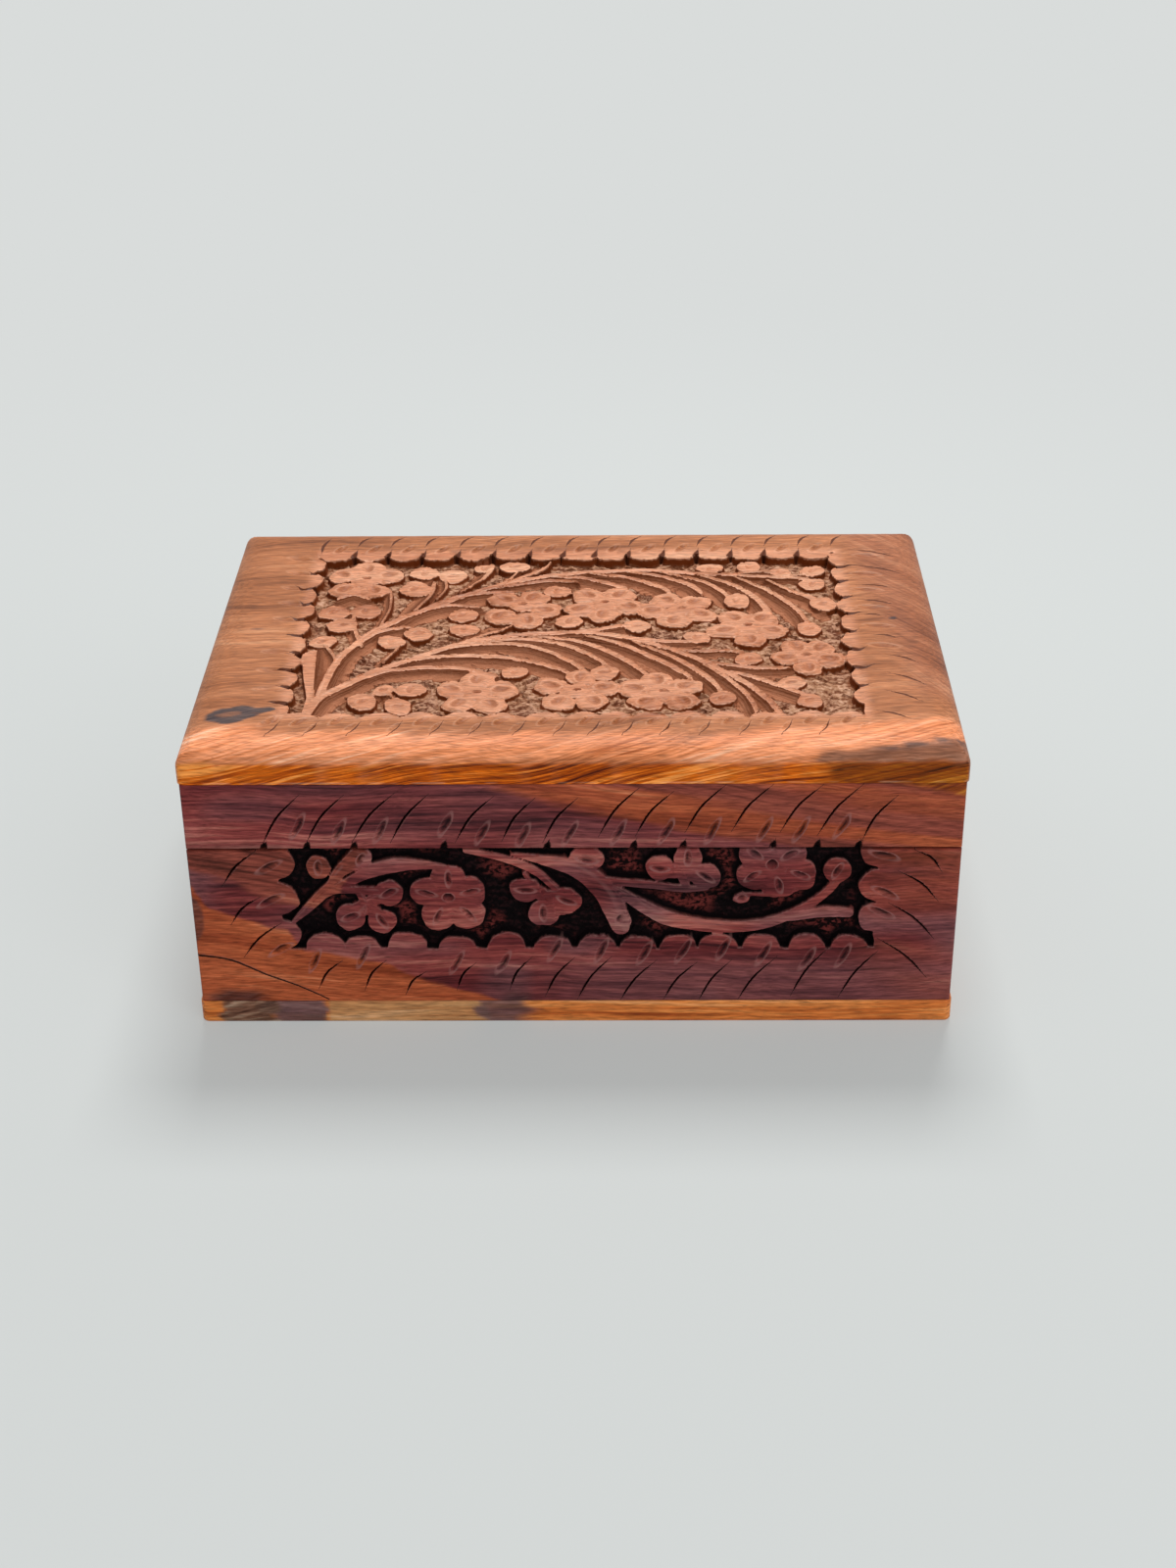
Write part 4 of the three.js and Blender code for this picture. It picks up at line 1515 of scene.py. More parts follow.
# Each lobe's place, length, width and, where it has one, turn
TOP_LOBES = (
    (-51.3, 8.6, 6.6, 6.4), (-44.6, 9.2, 6.4, 6.6), (-49.2, 2.4, 6.2, 6.6), (-34.8, 19.8, 6.8, 6.8),
    (-33.4, 28.2, 6.2, 5.8), (-27.2, 26.4, 6.2, 6), (-41.6, -31.4, 5.8, 6.4), (-32.6, -26.4, 6, 5.6),
    (-34.4, -33.2, 5, 7.4, 20), (-52.4, -5, 5.4, 5.2), (-38.1, -5.4, 5.6, 5.2), (-32.6, -1.6, 6, 5.6),
    (-24, 7.4, 6, 5.8), (-23.2, 0.4, 6, 5.4), (-13.8, 30.6, 6, 5.4), (-4.2, 18.8, 5.8, 5),
    (-1.4, 4.4, 5.6, 5.2), (13, 1.6, 5.6, 5.2), (25.4, -3.8, 5.6, 5.6), (35.4, -13.2, 5.4, 5.4),
    (43.4, -23.8, 5.4, 5), (46.6, -31.6, 5.2, 5.4), (-12, -19, 5.6, 5.4), (6, -19.2, 5.6, 5.4),
    (29.4, -30.2, 5.2, 5.6), (34, 13.2, 5.4, 6.4), (48.4, 0.2, 5, 5.6), (29, 30.2, 5.4, 4.6),
    (37.6, 30.6, 5.2, 4.8), (44.4, 27.6, 5.2, 4.6), (51.2, 28.6, 5.4, 4.8), (51, 21.8, 5.6, 5),
    (52.4, 11.8, 5.4, 7, 15), (45.8, -7.6, 4.6, 4.6), (-20.6, 30, 4.6, 4.2), (-38.2, -26.4, 4.2, 4.4),
)

# The two long stems of the sprays, the leaves along each of them, and the buds' stalks
TOP_STROKES = (
    Stroke(((-52.3, -37.2), (-51.6, -30), (-52, -22), (-52.6, -12.5)), (1.6, 2.6, 4.6, 6.4)),
    Stroke(((-49.5, -29), (-47.5, -14), (-44, -6), (-40, 1), (-35, 6), (-28, 12), (-22, 17), (-16, 21),
            (-10, 24), (-4, 26), (0, 27), (8, 27.7), (16, 28), (25, 26.7), (33, 26), (40, 24.9), (50, 24)),
           (3.4, 3, 2.6, 2.6, 2.4, 2.2, 2, 1.5, 1.1), steps=48),
    Stroke(((-44, -6), (-41, -2), (-37, 0.3), (-35, 1)), (0.5, 1.8, 1.6, 1)),
    Stroke(((-40, 0.5), (-33, 8), (-27, 11), (-21, 10.5)), (0.4, 1.8, 1.8, 1)),
    Stroke(((-33, 9), (-26, 15), (-19, 17), (-14, 17.5)), (0.4, 1.9, 2, 1.2)),
    Stroke(((-21, 19), (-13, 21), (-6, 23), (0, 22.6)), (0.4, 1.7, 1.6, 0.6)),
    Stroke(((-8, 25.7), (0, 24.7), (6, 21.9), (10, 19.5)), (0.4, 1.8, 2.2, 1.6)),
    Stroke(((2, 27.2), (10, 24.7), (16, 20.9), (19, 18)), (0.4, 1.8, 2.4, 2)),
    Stroke(((10, 28), (18, 24.9), (24, 20.4), (26, 17.4)), (0.4, 1.8, 2.6, 2)),
    Stroke(((18, 27.7), (26, 23.2), (30, 18.8), (32, 14.8)), (0.4, 1.7, 2, 1.6)),
    Stroke(((26, 26.4), (33, 20.8), (38, 13.2), (40.3, 5)), (0.4, 1.9, 2.8, 3)),
    Stroke(((34, 25.3), (41, 17.6), (45.6, 9.8), (48, 3)), (0.4, 1.7, 2.2, 1.6)),
    Stroke(((41, 23.4), (46, 17.4), (50.3, 13.2), (52, 10)), (0.4, 1.8, 2.8, 2.4)),
    Stroke(((33, 26.2), (38, 27.2), (44, 27.4)), (0.4, 1, 0.8)),
    Stroke(((44, 25), (49, 26.4), (51, 28)), (0.4, 1.1, 1.2)),
    Stroke(((-50.6, -35), (-49, -30), (-44, -24.6), (-40, -19.7), (-33, -14.5), (-25, -8.5), (-18, -5),
            (-10, -3.1), (0, -2.2), (6, -3), (12, -5.5), (18, -9), (22, -12), (26, -15.5), (30, -20),
            (34, -25), (37.6, -31), (39.5, -36.6)),
           (4.2, 3.6, 3, 2.6, 2.4, 2.4, 2.4, 2.2, 2.4, 2.6), steps=48),
    Stroke(((-46, -26.6), (-40, -20.6), (-34, -18.4), (-28, -17.9), (-22, -18.7), (-16, -21.2)),
           (0.5, 1.7, 2, 2, 1.4)),
    Stroke(((-41, -20.5), (-36, -16), (-30, -13.4), (-22, -12.5), (-12, -14), (-4, -18), (-1, -20.4)),
           (0.5, 1.8, 2.1, 2.2, 1.6)),
    Stroke(((-30, -11.4), (-24, -8.2), (-17, -7.1), (-10, -8.2), (-5, -11.4), (0, -16.6), (2.4, -20.6)),
           (0.5, 1.6, 1.8, 2, 1.4)),
    Stroke(((-22, -6.6), (-16, -5.4), (-9, -5.3), (-3, -7.4), (3, -12.6), (7, -18)),
           (0.5, 1.6, 1.9, 2.2, 1.2)),
    Stroke(((-10, -3.4), (-2, -5.1), (5, -9.4), (10.6, -15.6), (14, -20.4)), (0.5, 1.9, 2.4, 2.4, 1.4)),
    Stroke(((2, -3.2), (9, -7.4), (15, -13.2), (20, -18.6), (23, -22)), (0.5, 1.9, 2.6, 2.6, 1.4)),
    Stroke(((12, -6.2), (18, -11.6), (23, -17.6), (26.6, -23), (29, -28)), (0.5, 1.9, 2.8, 2.4, 1.4)),
    Stroke(((26, -16), (30.6, -23), (34, -30), (35.4, -36)), (0.5, 1.8, 2.2, 1.6)),
    Stroke(((-3, -2), (3, -1.4), (9, 0.6), (11, 2)), (0.8, 2, 1.8, 1)),
    Stroke(((8, -3.4), (15, -5.6), (22, -6.6), (26, -5.4)), (0.5, 1.8, 1.8, 0.8)),
    Stroke(((17, -8.6), (25, -10.8), (30, -10.4), (34, -11)), (0.5, 1.6, 1.6, 0.8)),
    Stroke(((26, -14.8), (32, -17.4), (38, -18.6), (43, -18)), (0.5, 1.7, 1.8, 0.8)),
    Stroke(((29, -18.6), (36, -22.4), (42, -27), (46, -30)), (0.5, 2, 2.2, 1.4)),
    Stroke(((-47.4, 6.5), (-46.6, 0), (-44.6, -7)), (1.5, 1.7, 1.6)),
    Stroke(((-31.4, 22.5), (-31.8, 17), (-34.4, 10)), (1.6, 1.8, 1.6)),
    Stroke(((-42.4, 21), (-40.4, 18), (-40, 10), (-41.2, 2.4)), (1.1, 1.1, 1.2)),
    Stroke(((-36.6, -7.8), (-37.4, -10), (-39, -14)), (1.1, 1.1, 1.2)),
    Stroke(((-52, -7), (-50, -11), (-49, -14)), (1.1, 1.1, 1.2)),
    Stroke(((-13.4, 28.2), (-14.6, 25.6), (-17, 22.4)), (1.1, 1.3, 1.4)),
    Stroke(((-19.6, 30.6), (-20.2, 27), (-22.2, 23), (-25, 18.6)), (2.8, 2.2, 1.6, 1.2)),
    Stroke(((-6.4, 33), (-8.6, 29.4), (-12.4, 26), (-16, 22.6)), (1, 2.8, 2.4, 1.4)),
    Stroke(((-12.8, 2.8), (-15.6, 0.2), (-19, -2), (-23, -5)), (0.3, 1.8, 2.2, 1.2)),
    Stroke(((-50.6, 14.8), (-47.8, 16.2), (-45, 14.8)), (1.4, 2, 1.4)),
    Stroke(((-39.6, -29), (-38, -27), (-36.4, -29.2)), (1, 1.6, 1)),
    Stroke(((-29, 24), (-28.6, 20), (-30, 15)), (1, 1.2, 1)),
)

# Where the border's lobes stand along each edge of the recess
TOP_FAR_ROW = (-53.6, -46.2, -38.5, -30.8, -23, -15, -7, 0, 7, 14.8, 22.2, 29.8, 37.2, 44.6, 52)
TOP_NEAR_ROW = (-53.4, -46, -37.6, -29.6, -21.6, -14, -5.6, 2.2, 8.8, 15.4, 22.6, 30.2, 38, 46, 53.2)
TOP_LEFT_ROW = (-36, -29.4, -22.4, -14.8, -7, 1, 9, 16.4, 24, 31.6)
TOP_RIGHT_ROW = (-30.4, -21.6, -13.6, -5.6, 2.6, 10.4, 18.2, 26, 33.8)

# Where the margins' long dents and veins start and end, and the middles of the right one's dents
LEFT_DENTS = (
    ((-58.5, 34.2), (-64.5, 35.6)), ((-57.5, 26.4), (-64, 28.6)), ((-57.5, 19), (-64, 20.4)),
    ((-57.2, 12), (-63.6, 12.8)), ((-58, 4.2), (-63.6, 5.2)), ((-58.4, -10.4), (-64, -10.2)),
    ((-58.4, -18.4), (-64, -18.2)), ((-58, -26), (-63.6, -26.8)), ((-57.6, -38.2), (-60.4, -41.6)),
)
RIGHT_VEINS = (
    ((60.6, 38.6), (69.8, 34.8)), ((61, 30.2), (70.2, 26.2)), ((60.6, 20.2), (67.6, 19)),
    ((60.6, 13), (67.4, 10.6)), ((60, 5.6), (64.6, 5.2)), ((62, -3.6), (66.4, -5.2)),
    ((64, -12.8), (69.2, -16)), ((63.6, -21), (69.6, -25.4)), ((62.2, -28.4), (68.2, -32.6)),
    ((59.8, -36.8), (65, -39.6)),
)
RIGHT_DENTS = ((64, 35.2), (62.6, 25.8), (62.4, 17.8), (62.6, 9.2), (63, 0.4), (63.4, -8.6))


@dataclass
class LidPanel(CarvedBoard):
    """The lid's top board, with the main carving and wide rounded upper edges."""

    along: Rule = Rule(7.0, 10, (-60.0, 60.0), (0.75, 0.36, 0.75))
    up: Rule = Rule(7.0, 10, (-41.0, 41.0), (0.6, 0.36, 0.6))
    depth: float = 1.3
    foot: float = 0.36
    lit: float = -1.0
    rough: float = 0.5
    lumpy: float = 0.3
    corner: float = 1.5
    round_width: float = 7.0
    round_height: float = 4.25

    def fall(self, in_u: Map, in_v: Map) -> Map:
        """Gives the drop of the wide rounding."""
        return quarter_drop(np.minimum(in_u, in_v), self.round_width, self.round_height)

    def carve(self, relief: Relief) -> None:
        """Cuts the sprays, the scalloped border and the veined margin.

        Args:
            relief: The carving.
        """
        lobes = [Oval(u, 38.4, length=7.6, width=8.6, square=2.5) for u in TOP_FAR_ROW]
        lobes += [Oval(u, -40.6, length=8.0, width=7.8) for u in TOP_NEAR_ROW]
        lobes += [Oval(-59.4, v, length=7.6, width=7.7) for v in TOP_LEFT_ROW]
        lobes += [Oval(59.0, v, length=7.6, width=8.1) for v in TOP_RIGHT_ROW]
        relief.stand(Border(left=-57.4, right=57.0, bottom=-38.7, top=37.6, lobes=lobes), waver=0.45)
        # The sines leave no two motifs alike, as the hand does.
        for number, stroke in enumerate(TOP_STROKES):
            relief.stand(replace(stroke, ridge=0.1), lowered=0.05 + 0.05 * math.sin(2.3 * number), crown=0.25,
                         slope=3.0 if max(stroke.widths) > 1.75 else 1.2, waver=0.06)
        for number, lobe in enumerate(Oval(*sizes) for sizes in TOP_LOBES):
            relief.stand(lobe, lowered=0.15 + 0.12 * math.sin(1.7 * number), crown=0.35, waver=0.4, comb=0.2)
            relief.scoop((lobe.u, lobe.v), (0.55 * lobe.length, 1.9), 50 + 40 * math.sin(2.1 * number),
                         depth=0.5, round=0.8, ink=0.3)
        for flower in TOP_FLOWERS:
            relief.stand(flower, lowered=0.05, crown=0.4, waver=0.6, comb=0.5)
            relief.scoops += flower.scoops(depth=0.75, round=1.3, ink=0.5)
        for u in TOP_FAR_ROW:
            relief.scoop((u + 0.7, 39.6), (5.2, 2.0), turn=60, depth=0.45, round=0.9, ink=0.35)
            relief.vein((u + 4.3, 41.2), (u + 6.9, 46.6), width=0.7, bow=0.5, depth=0.15)
        relief.vein((-57.2, 38.0), (-56.0, 45.0), width=0.8, bow=0.5, depth=0.15)
        for u in TOP_NEAR_ROW:
            relief.scoop((u + 0.3, -40.2), (4.6, 2.0), turn=52, depth=0.5, lean=0.6, round=0.8, ink=0.4)
            relief.scoop((u + 3.2, -42.6), (4.0, 1.2), turn=58, depth=0.25, lean=0.6, round=0.8, ink=0.15)
            relief.vein((u - 3.6, -40.6), (u - 5.6, -45.4), width=0.36, bow=0.3, depth=0.1)
        for (start_u, start_v), (end_u, end_v) in LEFT_DENTS:
            turn = math.degrees(math.atan2(end_v - start_v, end_u - start_u))
            middle = (start_u + end_u) / 2, (start_v + end_v) / 2
            relief.scoop(middle, (5.8, 2.1), turn, depth=0.45, round=0.9, ink=0.35)
        for start, end in RIGHT_VEINS:
            relief.vein(start, end, width=0.6, bow=0.5, depth=0.1)
        for place in RIGHT_DENTS:
            relief.scoop(place, (6.4, 2.2), turn=-8, depth=0.4, round=0.9, ink=0.4)
        self.notch(relief, -56.6, TOP_LEFT_ROW, -1)
        self.notch(relief, 56.4, TOP_RIGHT_ROW, 1)
        for low, high in pairwise(TOP_FAR_ROW):
            middle = (low + high) / 2
            relief.gouge(((middle, 36.0), (middle + 0.6, 39.0)), (1.7, 0.1), depth=0.6)

    def notch(self, relief: Relief, u: float, row: Sequence[float], side: int) -> None:
        """Cuts the small hooked notches between a side row's lobes.

        Args:
            relief: The carving.
            u: Where the notches start.
            row: Where the lobes stand.
            side: -1 for the left row and 1 for the right.
        """
        for low, high in pairwise(row):
            v = (low + high) / 2
            length = 3.0 + 1.0 * math.sin(1.3 * v)
            bend = 0.7 * math.sin(0.9 * v + side)
            points = (u, v), (u + 0.6 * side * length, v + bend), (u + side * length, v + 0.2 * bend + 0.5)
            relief.gouge(points, (1.9, 0.9, 0.1), depth=0.55, steps=6)

    def sink(self, u: Map, v: Map) -> Map:
        """Gives the depth of the ground, deepest at the back and the sides and shallowest at the front."""
        deeper = 0.6 * rise(v, 24.0, 10.0) + 0.3 * rise(np.abs(u), 48.0, 6.0)
        return (self.depth + deeper) * (1.0 - 0.35 * rise(-v, 31.0, 8.0))

    def knots(self, u: Map, v: Map) -> Map:
        """Paints the knot with its tail at the near left, and two small dark flecks.

        Args:
            u: Places along the face.
            v: Places up the face.

        Returns:
            The share of the knots' tone.
        """
        tilt = 0.3
        along = (u + 66.6) * math.cos(tilt) + (v + 37.4) * math.sin(tilt)
        across = (v + 37.4) * math.cos(tilt) - (u + 66.6) * math.sin(tilt)
        ragged = 0.17 * Grain(34, 2.6, 1.8).at(u, v)
        body, tail = spot(along, across, (0.0, 0.0), (4.8, 3.1)), spot(along, across, (4.6, 0.0), (4.0, 1.1))
        paler = rise(spot(along, across, (-0.4, 0.2), (2.8, 1.2)), 0.0, 0.3)
        knot = rise(np.maximum(body, tail) + ragged, -0.1, 0.14) * (1.0 - 0.4 * paler)
        knot = np.maximum(knot, 0.6 * rise(spot(u, v, (-66.5, 0.0), (2.0, 0.7)), 0.0, 0.6))
        return np.maximum(knot, rise(spot(u, v, (66.5, 4.0), (1.0, 1.0)), 0.1, 0.4))

    def zones(self, u: Map, v: Map) -> dict[str, Map]:
        """Paints the front edge, paler and with a painted sheen, and orange on its arris, the golden corner,
        the curl at the right and the knots.

        Args:
            u: Places along the face.
            v: Places up the face.

        Returns:
            The share of each zone.
        """
        wander = 2.0 * Grain(31, 22.0, 4.0, 0.5).at(u, v) + 0.9 * Grain(32, 6.0, 1.4, 0.5).at(u, v)
        crest = (-76, -40), (-60, -43.5), (-30, -45), (0, -45.5), (36, -45.5), (60, -42), (76, -38.5)
        # The near edge is paler wood with a painted sheen laid on it.
        near = band(crest, u, v, 5.0, wander)
        flame = 0.12 * Grain(35, 9.0, 1.1, 0.4).at(u, v)
        edge = band(((-76, -51.3), (76, -51.3)), u, v, 0.4, flame)
        margin = smooth_step(np.maximum(np.abs(u) - 56.5, np.abs(v) - 37.5) / 3.0)
        ragged = 0.5 * Grain(33, 2.4, 1.0).at(u, v)
        golden = edge * rise(u + 9.0 * ragged, 42.0, 14.0)
        strip = (-76, -60), (43, -51.6), (50, -50.2), (59, -49.0), (66, -48.2), (73, -46.7), (76, -45.0)
        mauve = band(strip, u, v, 0.8, ragged)
        torn = mauve * (1.0 - band(strip, u, v + 0.9, 0.6, ragged)) * rise(u, 56.0, 6.0)
        curl = rise(u + 0.12 * v, 61.0, 8.0) * rise(v, -34.0, 8.0)
        return {"margin": margin, "curl": curl, "near": near, "mauve": 0.85 * mauve, "roundover": edge,
                "heart": golden, "knot": np.maximum(self.knots(u, v), 0.75 * torn)}


FRONT_FLOWERS = (
    Flower(-24.8, 29.7, ((-24.6, 34.2), (-28.9, 30.8), (-20.4, 30.9), (-27, 25.3), (-21, 25.8)),
           hollow=(3.6, 1.3), centre=(2.3, 2.1)),
    Flower(38.8, 37.2, ((35, 34.6), (44.4, 34.8), (40.2, 32.6), (35.4, 39.8), (42.2, 39.4)),
           hollow=(3.5, 1.4), centre=(2.3, 2.1)),
)
# Each lobe's place, length and width, the turn of its dimple and, where it has one, its own turn
FRONT_LOBES = (
    (-44.4, 25.2, 5.8, 5.8, 20), (-38, 24, 5.8, 5.8, 120), (-36.4, 30.8, 5.8, 5.6, 25),
    (-9.6, 31.4, 6.2, 5.8, 175), (-6, 25.9, 6, 6, 95), (-1.5, 28.8, 5.8, 6.4, 150),
    (17, 36.5, 5.4, 5.6, 170), (22.4, 38.8, 5.4, 5.8, 95), (25.8, 34.4, 6, 5.6, 145),
    (-50, 36.6, 4.8, 5, 80), (-41.6, 38.6, 4.6, 5.2, 60), (2.6, 38.4, 6.4, 5.2, 170),
    (9.2, 24.8, 4.2, 6.2, 70, 20), (51.6, 35.8, 5.4, 5.6, 60), (33, 29.2, 3.4, 2.2, 10, 10),
)
# Where three buds meet their stalk, and the buds
FRONT_CLUSTERS = (
    ((-41, 28.6), ((-44.4, 25.2), (-38, 24), (-36.4, 30.8))),
    ((-5.4, 30.4), ((-9.6, 31.4), (-6, 25.9), (-1.5, 28.8))),
    ((20.6, 35), ((17, 36.5), (22.4, 38.8), (25.8, 34.4))),
)
FRONT_STROKES = (
    Stroke(((-56, 23.8), (-53, 27), (-50, 30.2), (-47.6, 33), (-45.6, 36), (-42, 39)),
           (0.6, 2, 2.4, 1.8, 2.6, 4.4)),
    Stroke(((-49, 31), (-45, 33), (-40, 35.8), (-35, 37.2), (-30, 37.4), (-25, 36.8)),
           (0.6, 1.8, 3, 3.2, 2.2, 1)),
    Stroke(((-53, 26.6), (-48, 31), (-43, 31.6), (-38, 31.2)), (0.6, 1.4, 1.8, 2.4)),
    Stroke(((-42.5, 31.4), (-41.4, 28.4), (-41.6, 26.2)), (1.4, 1.6, 1.4)),
    Stroke(((-21, 40.6), (-14, 38.9), (-8, 36.2), (-3.6, 32)), (1, 1.6, 1.8, 1.6)),
    Stroke(((-12, 39.8), (-5, 38.2), (1, 36.2), (5.4, 32.2), (8, 27), (9.2, 22.8)),
           (0.6, 2.4, 4, 4.6, 4.6, 3.6)),
    Stroke(((3, 35), (8, 33.4), (15, 32.6), (22, 31.6), (26, 31.8)), (0.8, 1.8, 1.8, 1.6, 1.2)),
    Stroke(((7, 32.6), (12, 28.8), (18, 25), (25, 23.2), (33, 22.8), (39, 24), (45, 27), (50, 31.4),
            (52.6, 36)), (1, 2.6, 3.4, 3, 2.6, 2.4, 2, 1.8, 2), steps=32),
    Stroke(((39, 24.2), (44, 25.2), (49, 26.2), (54, 26)), (0.8, 2, 2.6, 2.2)),
    Stroke(((20.6, 36), (21.4, 33.6), (22.4, 31.8)), (1.2, 1.6, 1.4)),
    Stroke(((-9.6, 35.4), (-7, 31), (-6, 28)), (0.8, 1.2, 1.6)),
    Stroke(((34, 30.4), (41, 30.6), (46, 33)), (0.6, 1.2, 1)),
)
# The lobes under the recess, and those beside it with their lengths and widths
FRONT_TIPS = (
    (-49.5, 17.1), (-42.4, 16.3), (-33.2, 17.2), (-23.4, 16.3), (-13.6, 17.2), (-4.4, 16.4), (4.4, 16.4),
    (12.6, 16.3), (20.6, 16.3), (28.6, 16.7), (37, 16.7), (46, 16.7), (54.8, 16.4),
)
FRONT_SIDE_LOBES = (
    (-59.2, 38.2, 9.2, 8.2), (-59.2, 29.6, 9.4, 8), (-58.4, 21, 7.8, 7),
    (61, 40.2, 10, 7), (60.6, 32.6, 9.6, 7.6), (60.2, 25, 8.4, 7.2),
)
# The margins' dimples, those at the sides with their turns, and the veins of the two margins
FRONT_DIMPLES = (
    (-52, 14.9), (-42.4, 16), (-23.6, 14.6), (-14.4, 14.4), (-4, 17.6), (5.2, 17.2), (13.8, 16.7),
    (21.6, 17.2), (29.6, 17.8), (37.6, 16.4), (46.4, 15.2), (53.4, 16),
)
FRONT_SIDE_DIMPLES = (
    (-59.6, 37, 28), (-59.8, 29.2, 28), (-58.6, 17.6, 30), (60.6, 39.4, -20), (61.2, 30.8, -28),
    (60.6, 26.2, -30),
)
FRONT_VEINS = (
    ((-47, 14.6), (-51.4, 8.8)), ((-38.2, 14.6), (-42.2, 8.4)), ((-30.2, 12), (-34, 7.2)),
    ((-20.2, 14), (-23.6, 8.4)), ((-9, 15.2), (-13, 8.4)), ((-0.4, 15.2), (-5.8, 6.8)),
    ((7, 15.4), (0.6, 5.8)), ((16, 14.6), (9.2, 5.4)), ((24, 14), (18, 5.8)),
    ((31, 14.6), (25, 5.4)), ((40, 15.4), (32.8, 5.4)), ((50, 17.2), (43.6, 6.8)),
    ((60, 16.6), (53.2, 6.4)), ((-62.4, 40.4), (-68.8, 33.2)), ((-62.4, 29.8), (-67.8, 24.2)),
    ((-58.6, 23.6), (-65.8, 16.4)), ((67, 40.4), (71.6, 36.2)), ((64, 35.6), (71.2, 29.4)),
    ((62.4, 28.2), (71, 20.4)), ((60.6, 19.8), (70, 11.2)),
)
FRONT_CRACK = ((-75.1, 16.3), (-68.8, 15.1), (-62.2, 11.7), (-55.9, 8.9), (-50.4, 5.9))
RAIL_VEINS = (
    ((-53, 53), (-60.2, 42.8)), ((-44.4, 53), (-51.6, 43.2)), ((-34.6, 53.4), (-42.6, 43.4)),
    ((-28, 53.2), (-35.2, 43.2)), ((-15.6, 52.6), (-22.6, 43.2)), ((-7.6, 52.2), (-13.6, 43.4)),
    ((0.6, 52.2), (-5.6, 43.2)), ((12.4, 54.4), (5.2, 44.4)), ((19, 53.6), (12.4, 44.6)),
    ((29, 55), (22, 45.4)), ((38, 55), (31, 45.6)), ((47.6, 55), (40.4, 45.4)),
    ((55.4, 55.2), (47.6, 44.6)), ((62, 52.6), (56.2, 43.4)),
)
RAIL_DIMPLES = (
    (-53.4, 46.4), (-45.4, 45.2), (-37.4, 45.4), (-24.6, 46.8), (-17.6, 44.8), (-9.6, 44.2), (-0.6, 44.6),
    (8.8, 44.8), (18, 45.2), (27, 45.2), (37, 45.4), (44.2, 45.4), (52, 46.2),
)
RAIL_NICKS = (-60.4, -52, -42.8, -25.3, -5.2, 11.6, 21.2, 38.6, 47.2, 55.2)
# The veiner's and the small gouge's sizes on the upright boards
VEIN_WIDTH = 0.42
VEIN_DEPTH = 0.6
DIMPLE_DEPTH = 0.55


